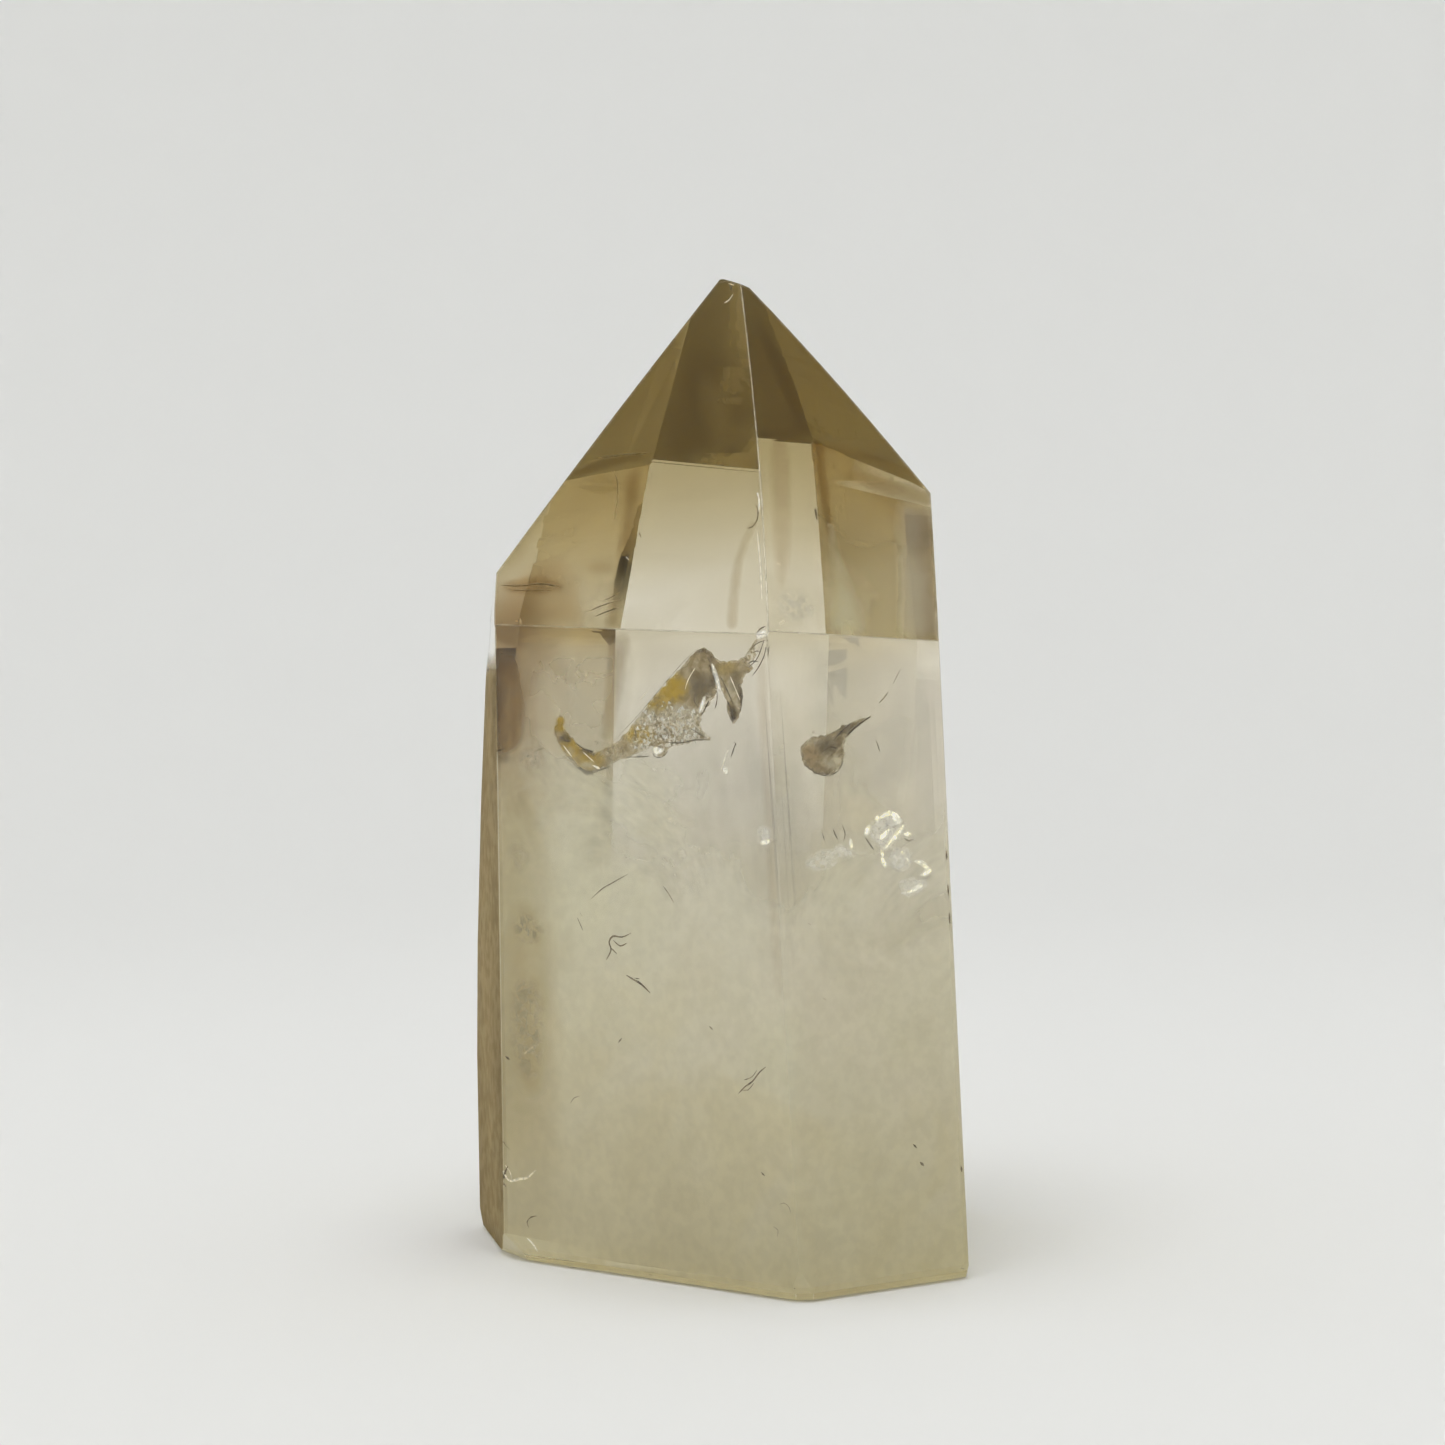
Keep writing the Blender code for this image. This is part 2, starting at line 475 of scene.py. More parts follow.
@dataclass(frozen=True)
class RustStain(Finish):
    """Iron stain on a healed crack: golden, umber and black patches, with clear gaps."""

    name: str = "rust_stain"
    ochre: Colour = (0.86, 0.71, 0.22)
    umber: Colour = (0.60, 0.52, 0.35)
    brown: Colour = (0.89, 0.83, 0.68)
    pitch: Colour = (0.20, 0.155, 0.09)
    pale: Colour = (0.95, 0.92, 0.82)
    mottle: Cloud = Cloud(1700.0, 6, 0.5, 0.43, 0.57)
    streaks: Cloud = Cloud(2550.0, 4, 0.2, 0.40, 0.60, stretch=(1, 1, 0.22), turn=(0, -0.75, 0))
    holes: Cloud = Cloud(3230.0, 3, 0.0, 0.42, 0.60)
    firm: float = 0.55  # the tone where there is no mottle
    body: float = 0.34  # share of matt stain; the rest is a clear tint

    def surface(self, graph: Graph) -> Node:
        """Builds the stain, from the tones that the crack's points carry.

        Args:
            graph: the material's node tree.

        Returns:
            The surface's last node.
        """
        mottle = graph.times(graph.plus(graph.cloud(self.mottle), graph.cloud(self.streaks)), 0.5)
        colour = graph.mix(mottle, self.umber, self.brown)
        for tone, stain in ((Tone.OCHRE, self.ochre), (Tone.PALE, self.pale), (Tone.PITCH, self.pitch)):
            uneven = graph.times(graph.mark(tone.value), graph.plus(mottle, self.firm), clamp=True)
            colour = graph.mix(uneven, colour, stain)
        bare = graph.times(graph.mark(Tone.BARE.value), graph.cloud(self.holes), clamp=True)
        solid = graph.times(graph.maths("SUBTRACT", 1.0, bare), graph.mark("cover"), clamp=True)
        return graph.over(solid, graph.over(self.body, graph.matt(colour), graph.clear(colour)))


@dataclass(frozen=True)
class Flash(Finish):
    """A pale patchy film; on an air-filled crack it is a painted flash, pale, a little yellow or iridescent.
    """

    name: str = "pale_flash"
    colour: Colour = (0.95, 0.92, 0.78)
    second: Colour = (0.99, 0.99, 0.95)
    # painted glow: an emission for the light that the crack flashes back
    glow: float = 0.35
    least: float = 0.5  # cover of its thinnest patches
    cover: float = 0.95
    patch_scale: float = 1500.0
    gap_scale: float = 1.3  # of the scale of the patches
    roughness: float = 0.25
    marked: bool = True  # whether its points carry how much they cover

    def surface(self, graph: Graph) -> Node:
        """Builds the flash.

        Args:
            graph: the material's node tree.

        Returns:
            The surface's last node.
        """
        colour = graph.mix(graph.cloud(Cloud(self.patch_scale, 3, 0.4, 0.36, 0.62)), self.colour, self.second)
        looks = {"Base Color": colour, "Emission Color": colour}
        sizes = {"Roughness": self.roughness, "Emission Strength": self.glow}
        shine = graph.add("ShaderNodeBsdfPrincipled", looks | sizes)
        gaps = Cloud(self.patch_scale * self.gap_scale, 4, 0.6, 0.38, 0.58, self.least, self.cover)
        share = graph.cloud(gaps)
        if self.marked:
            share = graph.times(graph.mark("cover"), share, clamp=True)
        return graph.over(share, shine)


@dataclass(frozen=True)
class Shade(Finish):
    """Painted shade: a tint for bands that the faces bend and mirror; it only tints what is seen through it.
    """

    tint: Colour
    uneven: Cloud = Cloud(320.0, 3, 0.0, 0.3, 0.7, 0.8, 1.1)

    def surface(self, graph: Graph) -> Node:
        """Builds the tint."""
        share = graph.times(graph.mark("cover"), graph.cloud(self.uneven), clamp=True)
        return graph.clear(graph.mix(share, WHITE, self.tint))


@dataclass(frozen=True)
class Fleck(Finish):
    """Dark grains and hairline cracks."""

    name: str = "dark_fleck"
    colour: Colour = (0.035, 0.030, 0.022)
    warm: Colour = (0.16, 0.12, 0.07)
    patches: Cloud = Cloud(2200.0, 2)
    roughness: float = 0.5

    def surface(self, graph: Graph) -> Node:
        """Builds the patchy dark surface."""
        colour = graph.mix(graph.cloud(self.patches), self.colour, self.warm)
        return graph.add("ShaderNodeBsdfPrincipled", {"Base Color": colour, "Roughness": self.roughness})


@dataclass(frozen=True)
class BruiseAndSheen(Finish):
    """A broken, warm-toned line, part wear and part painted highlight: pale bruises and brown gaps, half
    clear.
    """

    name: str = "worn_edge"
    pale: Colour = (0.82, 0.78, 0.64)
    brown: Colour = (0.64, 0.57, 0.42)
    patches: Cloud = Cloud(420.0, 4, 0.5, 0.42, 0.60)
    # the pale bruises are partly a painted highlight of the edge
    white: Colour = (0.93, 0.91, 0.82)
    bruises: Cloud = Cloud(252.0, 3, 0.0, 0.60, 0.68)
    cover: float = 0.30
    gaps: Cloud = Cloud(966.0, 3, 0.0, 0.40, 0.60, 0.45, 1.0)

    def surface(self, graph: Graph) -> Node:
        """Builds the broken line.

        Args:
            graph: the material's node tree.

        Returns:
            The surface's last node.
        """
        colour = graph.mix(graph.cloud(self.patches), self.brown, self.pale)
        colour = graph.mix(graph.cloud(self.bruises), colour, self.white)
        matt = graph.add("ShaderNodeBsdfDiffuse", {"Color": colour})
        return graph.over(graph.times(graph.cloud(self.gaps), self.cover, clamp=True), matt)


@dataclass(frozen=True)
class StudioPaper(Finish):
    """Plain matt paper."""

    name: str = "studio_paper"
    colour: Colour = (0.80, 0.80, 0.785)
    roughness: float = 0.9
    sheen: float = 0.2

    def surface(self, graph: Graph) -> Node:
        """Builds the paper."""
        plain = {"Base Color": self.colour, "Roughness": self.roughness, "Specular IOR Level": self.sheen}
        return graph.add("ShaderNodeBsdfPrincipled", plain)


@dataclass(frozen=True)
class LampLight(Finish):
    """An even white glow."""

    name: str = "lamp_light"
    shine: float = 4.2

    def surface(self, graph: Graph) -> Node:
        """Builds the glow."""
        return graph.add("ShaderNodeEmission", {"Color": WHITE, "Strength": self.shine})


# --------------------------------------------------------------------------- camera and studio


def put_in_scene(name: str, data: ID) -> Object:
    """Makes an object of a mesh or a camera, and puts it in the scene.

    Args:
        name: the object's name.
        data: the mesh or the camera.

    Returns:
        The object.
    """
    thing = bpy.data.objects.new(name, data)
    bpy.context.scene.collection.objects.link(thing)
    return thing


def finished(name: str, shape: bmesh.types.BMesh) -> Mesh:
    """Turns a shape to a mesh, and lets the shape go.

    Args:
        name: the mesh's name.
        shape: the shape.

    Returns:
        The mesh.
    """
    mesh = bpy.data.meshes.new(name)
    shape.to_mesh(mesh)
    shape.free()
    return mesh


@dataclass(frozen=True)
class Sight:
    """The camera, and the directions in which it looks."""

    place: Axes = (0.001114, -0.265333, 0.05607)
    look_down: float = 2.207  # degrees
    roll: float = -1.3887
    frame_side: float = 1445.0  # pixels
    focal: float = 3000.0  # pixels
    film: float = 36.0  # millimetres
    nearest: float = 0.01

    def turn(self) -> Matrix:
        """The camera's tilt and roll."""
        tilt = Matrix.Rotation(radians(90 - self.look_down), 4, "X")
        return tilt @ Matrix.Rotation(radians(self.roll), 4, "Z")

    def ray(self, spot: Spot) -> Vector:
        """The direction in which the camera sees a spot of its frame.

        Args:
            spot: the spot, in pixels.

        Returns:
            The direction, one unit long.
        """
        half = self.frame_side / 2
        ahead = Vector(((spot[0] - half) / self.focal, (half - spot[1]) / self.focal, -1.0))
        return (self.turn().to_3x3() @ ahead).normalized()

    def set_up(self) -> None:
        """Makes the camera and looks through it."""
        camera = bpy.data.cameras.new("camera")
        camera.sensor_width = self.film
        camera.lens = self.film * self.focal / self.frame_side
        camera.clip_start = self.nearest
        stand = put_in_scene("camera", camera)
        stand.matrix_world = Matrix.Translation(self.place) @ self.turn()
        bpy.context.scene.camera = stand


@dataclass(frozen=True)
class LightPaths:
    """How deep light goes into the stone, through its milk and back."""

    max_bounces: int = 18
    glossy_bounces: int = 12
    transmission_bounces: int = 18
    volume_bounces: int = 7
    diffuse_bounces: int = 5
    transparent_max_bounces: int = 28

    def set_up(self) -> None:
        """Sets the limits, and a plain view of the colours."""
        for limit, number in vars(self).items():
            setattr(bpy.context.scene.cycles, limit, number)
        bpy.context.scene.view_settings.view_transform = "Standard"


@dataclass(frozen=True)
class Studio:
    """A round bowl of pale paper with soft light from all sides, and one wide lamp above."""

    radius: float = 0.60
    cove: float = 0.30
    cove_steps: int = 16
    height: float = 0.45
    below: float = 0.0002
    sides: int = 96
    sky: Colour = (0.80, 0.81, 0.81)
    sky_strength: float = 0.78
    lamp_place: Axes = (-0.02, -0.10, 0.75)
    lamp_aim: Axes = (0, 0, 0.04)
    lamp_size: float = 0.5
    lamp_sides: int = 48
    card_x: float = 0.30
    card_y: Span = (-0.10, 0.08)
    card_z: Span = (0.017, 0.040)
    card_paper: StudioPaper = StudioPaper("dark_card", (0.10, 0.08, 0.05))
    flag_sides: tuple[Axes, Axes] = ((-0.72, 0.01, 0.695), (0.618, -0.03, 0.785))
    flag_aim: Axes = (0, 0, 0.07)
    flag_far: float = 0.45
    flag_size: float = 0.20
    flag_cloth: StudioPaper = StudioPaper("flag_cloth", (0.40, 0.40, 0.36))

    def staged(self, name: str, mesh: Mesh, finish: Finish, hidden_from: str = "") -> None:
        """Puts a thing in the studio that isn't part of the object.

        Args:
            name: the thing's name.
            mesh: its mesh, at its place.
            finish: its finish.
            hidden_from: the kinds of ray that don't meet it, with spaces between them.
        """
        mesh.materials.append(finish.material())
        thing = put_in_scene(name, mesh)
        for kind in hidden_from.split():
            setattr(thing, "visible_" + kind, False)

    def bowl(self) -> None:
        """Makes the floor and the backdrop, in one turned sheet."""
        shape = bmesh.new()
        middle = shape.verts.new((0, 0, -self.below))
        flat = self.radius - self.cove
        turns = [pi / 2 * step / self.cove_steps for step in range(self.cove_steps + 1)]
        profile = [(flat + self.cove * sin(turn), self.cove * (1 - cos(turn))) for turn in turns]
        circle = [(cos(tau * side / self.sides), sin(tau * side / self.sides)) for side in range(self.sides)]
        rings = [
            [shape.verts.new((out * x, out * y, up - self.below)) for x, y in circle]
            for out, up in profile + [(self.radius, self.height)]
        ]
        for side in range(self.sides):
            after = (side + 1) % self.sides
            shape.faces.new((middle, rings[0][side], rings[0][after]))
            for inner, outer in zip(rings, rings[1:]):
                shape.faces.new((inner[side], outer[side], outer[after], inner[after]))
        mesh = finished("backdrop", shape)
        mesh.shade_smooth()
        self.staged("backdrop", mesh, StudioPaper())

    def card(self, name: str, corners: list[Vector], finish: Finish, hidden_from: str) -> None:
        """Makes a plain four-sided card.

        Args:
            name: its name.
            corners: its four corners, in order.
            finish: its finish.
            hidden_from: the kinds of ray that don't meet it.
        """
        mesh = bpy.data.meshes.new(name)
        mesh.from_pydata(corners, [], [(0, 1, 2, 3)])
        self.staged(name, mesh, finish, hidden_from)

    def cards(self) -> None:
        """Makes the dark card that the stone's inside mirrors, and the flags that its polish does."""
        (low_y, high_y), (low_z, high_z) = self.card_y, self.card_z
        edges = ((low_y, low_z), (high_y, low_z), (high_y, high_z), (low_y, high_z))
        corners = [Vector((self.card_x, y, z)) for y, z in edges]
        self.card("shade_card", corners, self.card_paper, "camera shadow diffuse volume_scatter")
        half = self.flag_size / 2
        for index, side in enumerate(self.flag_sides):
            middle = Vector(self.flag_aim) + Vector(side).normalized() * self.flag_far
            turn = Matrix.Translation(middle) @ Vector(side).to_track_quat("Z", "Y").to_matrix().to_4x4()
            edges = ((-half, -half), (half, -half), (half, half), (-half, half))
            corners = [turn @ Vector((x, y, 0)) for x, y in edges]
            hidden_from = "camera shadow diffuse transmission volume_scatter"
            self.card(f"flag_{index}", corners, self.flag_cloth, hidden_from)

    def room(self) -> None:
        """Sets the soft light of the room."""
        world = bpy.data.worlds.new("room_light")
        world.use_nodes = True
        world.cycles.sampling_method = "NONE"
        graph = Graph(world.node_tree)
        background = world.node_tree.nodes["Background"]
        graph.feed(background.inputs["Color"], self.sky)
        graph.feed(background.inputs["Strength"], self.sky_strength)
        bpy.context.scene.world = world

    def lamp(self) -> None:
        """Makes the wide lamp, a glowing disc."""
        shape = bmesh.new()
        bmesh.ops.create_circle(shape, cap_ends=True, segments=self.lamp_sides, radius=self.lamp_size / 2)
        aim = Vector(self.lamp_aim) - Vector(self.lamp_place)
        turn = Matrix.Translation(self.lamp_place) @ aim.to_track_quat("Z", "Y").to_matrix().to_4x4()
        bmesh.ops.transform(shape, matrix=turn, verts=shape.verts)
        self.staged("wide_lamp", finished("wide_lamp", shape), LampLight())

    def build(self) -> None:
        """Makes the whole studio."""
        self.bowl()
        self.cards()
        self.room()
        self.lamp()


# ------------------------------------------------------------------------- bodies and their skin


def place_piece(
    name: str, mesh: Mesh, material: Material | None, slot: Slot, mirrored: bool = True
) -> Object:
    """Puts a finished mesh in the scene as a piece that rides on the stone's body.

    Args:
        name: the piece's name.
        mesh: its mesh, at its place in the stone.
        material: its finish, or None to keep what the mesh has.
        slot: the piece's material slot, which is only logged.
        mirrored: whether the stone's faces mirror it from inside, and it shades the milk.

    Returns:
        The piece.
    """
    if material is not None:
        mesh.materials.clear()
        mesh.materials.append(material)
    piece = put_in_scene(name, mesh)
    piece.visible_glossy = piece.visible_diffuse = piece.visible_volume_scatter = mirrored
    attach(piece, "root")
    log.info("%s: %d faces, %s", name, len(mesh.polygons), slot.value)
    return piece


@dataclass
class Skin:
    """The stone's polished skin, and how it bends what the camera sees."""

    sight: Sight
    tree: BVHTree
    middle: Spot = (720.0, 800.0)  # about where the camera sees the stone's middle
    tries: int = 100  # a spot just off the stone is drawn towards its middle
    passes: int = 4  # of pushing a place in from one face after another
    close: float = 0.001 * MM  # a gap this near to the least one will do

    def behind(self, spot: Spot, depth: float) -> Vector:
        """A place inside the stone.

        Args:
            spot: where the camera sees it; just off the stone, the nearest spot inwards is used.
            depth: how far behind the skin it lies, along the bent line of sight.

        Returns:
            The place, at least the skin gap inside the stone.
        """
        for step in range(self.tries):
            nearer = step / self.tries / 2
            ahead = self.sight.ray(tuple(s + (m - s) * nearer for s, m in zip(spot, self.middle)))
            hit, normal, _, _ = self.tree.ray_cast(Vector(self.sight.place), ahead)
            if hit is not None:
                break
        else:
            raise ValueError(f"the camera does not see the stone near {spot}")
        facing = -ahead.dot(normal)
        ratio = 1 / QUARTZ_BEND
        inward = ahead * ratio + normal * (ratio * facing - sqrt(1 - ratio**2 * (1 - facing**2)))
        return self.kept_inside(hit + inward * depth)

    def kept_inside(self, place: Vector) -> Vector:
        """The place itself, or the nearest one that is the skin gap inside the stone."""
        for _ in range(self.passes):
            near, normal, _, _ = self.tree.find_nearest(place)
            if (near - place).dot(normal) >= SKIN_GAP - self.close:
                return place
            place = near - normal * SKIN_GAP
        return place


def smooth_path(spots: Outline, step: float, closed: bool) -> list[Spot]:
    """A rounded line through spots.

    Args:
        spots: the spots, in order.
        step: about how far apart the new spots are, in pixels.
        closed: whether the line runs back to its start.

    Returns:
        Spots along the line.
    """
    count = len(spots)
    line = []
    for index in range(count if closed else count - 1):
        if closed:
            before, start, end, after = (spots[(index + k) % count] for k in (-1, 0, 1, 2))
        else:
            before, start = spots[max(index - 1, 0)], spots[index]
            end, after = spots[index + 1], spots[min(index + 2, count - 1)]
        pieces = max(1, round(hypot(end[0] - start[0], end[1] - start[1]) / step))
        for piece in range(pieces):
            t = piece / pieces
            spot = []
            for b, s, e, a in zip(before, start, end, after):
                square, cube = 2 * b - 5 * s + 4 * e - a, 3 * s - b - 3 * e + a
                spot.append(0.5 * (2 * s + (e - b) * t + square * t**2 + cube * t**3))
            line.append(tuple(spot))
    if not closed:
        line.append(spots[-1])
    return line


def is_inside(spot: Spot, outline: list[Spot]) -> bool:
    """Whether a spot lies inside a closed outline.

    Args:
        spot: the spot.
        outline: the outline's spots.

    Returns:
        Whether it does.
    """
    inside = False
    for (x1, y1), (x2, y2) in zip(outline, outline[1:] + outline[:1]):
        if (y1 > spot[1]) != (y2 > spot[1]) and spot[0] < x1 + (x2 - x1) * (spot[1] - y1) / (y2 - y1):
            inside = not inside
    return inside


def thin_body(
    name: str,
    places: list[Vector],
    faces: list[tuple[int, ...]],
    thickness: float,
    marks: dict[str, list[float]],
) -> Mesh:
    """A closed thin body on both sides of a sheet.

    Args:
        name: the mesh's name.
        places: the sheet's points.
        faces: the sheet's faces, as numbers of points.
        thickness: the body's thickness.
        marks: numbers that the points carry, by name.

    Returns:
        The body's mesh.
    """
    normals = [Vector() for _ in places]
    edges: dict[tuple[int, int], None] = {}
    for face in faces:
        a, b, c = (places[corner] for corner in face[:3])
        flat = (b - a).cross(c - a)
        for corner in face:
            normals[corner] += flat
        edges.update(dict.fromkeys(zip(face, face[1:] + face[:1])))
    count = len(places)
    out = [normal.normalized() * (thickness / 2) for normal in normals]
    points = [p + o for p, o in zip(places, out)] + [p - o for p, o in zip(places, out)]
    sides = list(faces) + [tuple(corner + count for corner in reversed(face)) for face in faces]
    sides += [(b, a, a + count, b + count) for a, b in edges if (b, a) not in edges]
    mesh = bpy.data.meshes.new(name)
    mesh.from_pydata(points, [], sides)
    for mark, numbers in marks.items():
        layer = mesh.attributes.new(mark, "FLOAT", "POINT")
        layer.data.foreach_set("value", numbers + numbers)
    mesh.shade_smooth()
    mesh.update()
    return mesh


INSIDE = 1  # of the triangles that join a crack's points, those inside its rim
SAME_SPOT = 1e-4  # pixels; points nearer than this are one


@dataclass(frozen=True)
class Dab:
    """A dab of a tone on a crack, where the camera sees it."""

    tone: Tone
    x: float
    y: float
    wide: float
    tall: float
    strength: float = 1.0

    def weight(self, spot: Spot) -> float:
        """How strong the dab is at a spot."""
        away = ((spot[0] - self.x) / self.wide) ** 2 + ((spot[1] - self.y) / self.tall) ** 2
        return self.strength * max(0.0, 1 - away) ** 0.5


@dataclass(frozen=True)
class Crack:
    """A healed or open crack: a thin crumpled body that fills an outline."""

    name: str
    outline: Outline
    depths: tuple[tuple[float, float, float], ...]  # x, y, millimetres behind the skin
    dabs: tuple[Dab, ...] = ()
    step: float = 4.0  # pixels between its points
    uneven: float = 0.25  # of a step, by which its points are out of line
    apart: float = 0.45  # of a step, from its rim to the nearest point inside
    crumple: float = 0.35 * MM
    crumple_size: float = 14.0  # pixels
    crumple_kind: tuple[float, float, int] = (0.9, 2.0, 3)  # roughness, gap and number of octaves
    seed_gap: float = 7.3  # in that noise, from one seed to the next
    blend: float = 4.0  # pixels; how softly the given depths run into each other
    thickness: float = 0.05 * MM
    fade: float = 2.5  # pixels over which its rim thins out
    rim: float = 0.25  # cover at its very rim
    ragged: float = 0.0  # pixels by which its rim is torn in and out
    seed: int = 1

    @classmethod
    def level(cls, name: str, outline: Outline, depth: float, **sizes: float) -> "Crack":
        """A crack that lies the same number of millimetres behind the skin all over."""
        return cls(name, outline, ((*outline[0], depth),), **sizes)

    def depth(self, spot: Spot) -> float:
        """How deep the crack lies at a spot, crumples included.

        Args:
            spot: where the camera sees it.

        Returns:
            The depth behind the skin.
        """
        total = share = 0.0
        for x, y, millimetres in self.depths:
            weight = 1 / (hypot(spot[0] - x, spot[1] - y) + self.blend) ** 2
            total += weight * millimetres * MM
            share += weight
        size = self.crumple_size
        place = Vector((spot[0] / size, spot[1] / size, self.seed * self.seed_gap))
        rough = noise.fractal(place, *self.crumple_kind)
        return total / share + rough * self.crumple

    def tone_marks(self, spots: list[Spot]) -> dict[str, list[float]]:
        """The strength of each tone at each spot.

        Args:
            spots: where the camera sees the crack's points.

        Returns:
            The strengths, by the tone's name.
        """
        marks = {}
        for tone in Tone:
            own = [dab for dab in self.dabs if dab.tone is tone]
            most = [max((dab.weight(spot) for dab in own), default=0.0) for spot in spots]
            marks[tone.value] = [min(1.0, strength) for strength in most]
        return marks

    def fill(self, rim: list[Spot], chance: Random) -> dict[Spot, float]:
        """Spots all over the inside of the rim, and how far from it each one is.

        Args:
            rim: the rim's spots.
            chance: the crack's own dice.

        Returns:
            How far from the rim each spot is, by spot.
        """
        low_x, high_x = min(x for x, _ in rim), max(x for x, _ in rim)
        low_y, high_y = min(y for _, y in rim), max(y for _, y in rim)
        away = {}
        y = low_y + self.step / 2
        while y < high_y:
            x = low_x + self.step / 2
            while x < high_x:
                spot = tuple(part + chance.uniform(-self.uneven, self.uneven) * self.step for part in (x, y))
                near = min(hypot(spot[0] - rx, spot[1] - ry) for rx, ry in rim)
                if near > self.step * self.apart and is_inside(spot, rim):
                    away[spot] = near
                x += self.step
            y += self.step
        return away

    def mesh(self, skin: Skin) -> Mesh:
        """Builds the crack behind the skin.

        Args:
            skin: the stone's skin.

        Returns:
            The closed thin mesh.
        """
        chance = Random(self.seed)
        rim = [
            tuple(part + chance.uniform(-self.ragged, self.ragged) for part in spot)
            for spot in smooth_path(self.outline, self.step, closed=True)
        ]
        away = [0.0] * len(rim)
        inner = self.fill(rim, chance)
        away += inner.values()
        found, _, triangles, origins, _, _ = delaunay_2d_cdt(
            [Vector((x, -y)) for x, y in rim + list(inner)], [], [list(range(len(rim)))], INSIDE, SAME_SPOT
        )
        seen = [(point.x, -point.y) for point in found]
        marks = self.tone_marks(seen)
        nearness = [away[origin[0]] if origin else 0.0 for origin in origins]
        marks["cover"] = [min(1.0, self.rim + near / self.fade) for near in nearness]
        places = [skin.behind(spot, self.depth(spot)) for spot in seen]
        mesh = thin_body(self.name, places, [tuple(face) for face in triangles], self.thickness, marks)
        mesh.shade_flat()
        return mesh


@dataclass(frozen=True)
class HealedCrack(Crack):
    """A healed crack, stained right up to its torn rim."""

    step: float = 3.0
    fade: float = 1.5
    rim: float = 0.55


@dataclass(frozen=True)
class Hair:
    """A hairline: a thin tapered thread along a rounded path."""

    path: Outline
    width: float  # millimetres
    depth: float = SHALLOW  # millimetres behind the skin
    sides: int = 5
    step: float = 3.0  # pixels
    flat: float = 0.4  # how thick it is, as a share of its width
    blunt: float = 0.03  # how wide its ends are, as a share of its middle, squared
    plain: float = 0.8  # share of the width where it doesn't vary
    uneven: float = 0.4  # how much it varies
    uneven_scale: float = 2500.0

    def add_to(self, shape: bmesh.types.BMesh, skin: Skin) -> None:
        """Adds the thread to a shape.

        Args:
            shape: the shape that it goes into.
            skin: the stone's skin.
        """
        path = smooth_path(self.path, self.step, closed=False)
        line = [skin.behind(spot, self.depth * MM) for spot in path]
        last = len(line) - 1
        rings = []
        for index, middle in enumerate(line):
            along = (line[min(index + 1, last)] - line[max(index - 1, 0)]).normalized()
            across = along.cross(Vector((0, 1, 0))).normalized()
            second = along.cross(across) * self.flat
            share = index / last
            wobble = self.plain + self.uneven * noise.noise(middle * self.uneven_scale)
            out = self.width * MM / 2 * sqrt(max(self.blunt, 4 * share * (1 - share))) * wobble
            turns = [tau * side / self.sides for side in range(self.sides)]
            rings.append([shape.verts.new(middle + (across * cos(t) + second * sin(t)) * out) for t in turns])
        for before, after in zip(rings, rings[1:]):
            for k in range(self.sides):
                shape.faces.new((before[k], before[k - 1], after[k - 1], after[k]))
        shape.faces.new(rings[0])
        shape.faces.new(list(reversed(rings[-1])))


def hair_mesh(name: str, hairs: Iterable[Hair], skin: Skin) -> Mesh:
    """One mesh of several hairlines, each a closed thread.

    Args:
        name: the mesh's name.
        hairs: the hairlines.
        skin: the stone's skin.

    Returns:
        The mesh.
    """
    shape = bmesh.new()
    for hair in hairs:
        hair.add_to(shape, skin)
    bmesh.ops.recalc_face_normals(shape, faces=shape.faces)
    mesh = finished(name, shape)
    mesh.shade_smooth()
    return mesh


# ----------------------------------------------------------------------------- repeated grains


class Growth:
    """A geometry node tree with named inputs, and the plain mesh that it makes of a host."""

    def __init__(self, name: str, sizes: dict[str, float | int]) -> None:
        """Starts the tree.

        Args:
            name: the name of the tree and of what it makes.
            sizes: its named inputs and their values. An int makes an input for whole numbers.
        """
        self.name = name
        self.sizes = sizes
        self.tree = bpy.data.node_groups.new(name, "GeometryNodeTree")
        face = self.tree.interface
        face.new_socket("Geometry", in_out="INPUT", socket_type="NodeSocketGeometry")
        for label, size in sizes.items():
            kind = "NodeSocketInt" if isinstance(size, int) else "NodeSocketFloat"
            face.new_socket(label, in_out="INPUT", socket_type=kind)
        face.new_socket("Geometry", in_out="OUTPUT", socket_type="NodeSocketGeometry")
        self.graph = Graph(self.tree)
        self.given = self.graph.add("NodeGroupInput").outputs

    def of(self, host: Mesh, shape: Node, material: Material) -> Mesh:
        """Ends the tree and runs it.

        Args:
            host: the mesh that the tree starts from.
            shape: the tree's last node.
            material: the finish of what it makes.

        Returns:
            What the tree makes of the host, as a plain mesh.
        """
        solid = self.graph.add("GeometryNodeRealizeInstances", {"Geometry": shape})
        dressed = self.graph.add("GeometryNodeSetMaterial", {"Geometry": solid, "Material": material})
        self.graph.add("NodeGroupOutput", {0: dressed})
        carrier = put_in_scene(self.name + "_carrier", host)
        modifier = carrier.modifiers.new(self.name, "NODES")
        modifier.node_group = self.tree
        for item in self.tree.interface.items_tree:
            if item.in_out == "INPUT" and item.name in self.sizes:
                modifier[item.identifier] = self.sizes[item.name]
        ready = bpy.context.evaluated_depsgraph_get()
        mesh = bpy.data.meshes.new_from_object(carrier.evaluated_get(ready))
        mesh.name = self.name
        bpy.data.objects.remove(carrier, do_unlink=True)
        return mesh


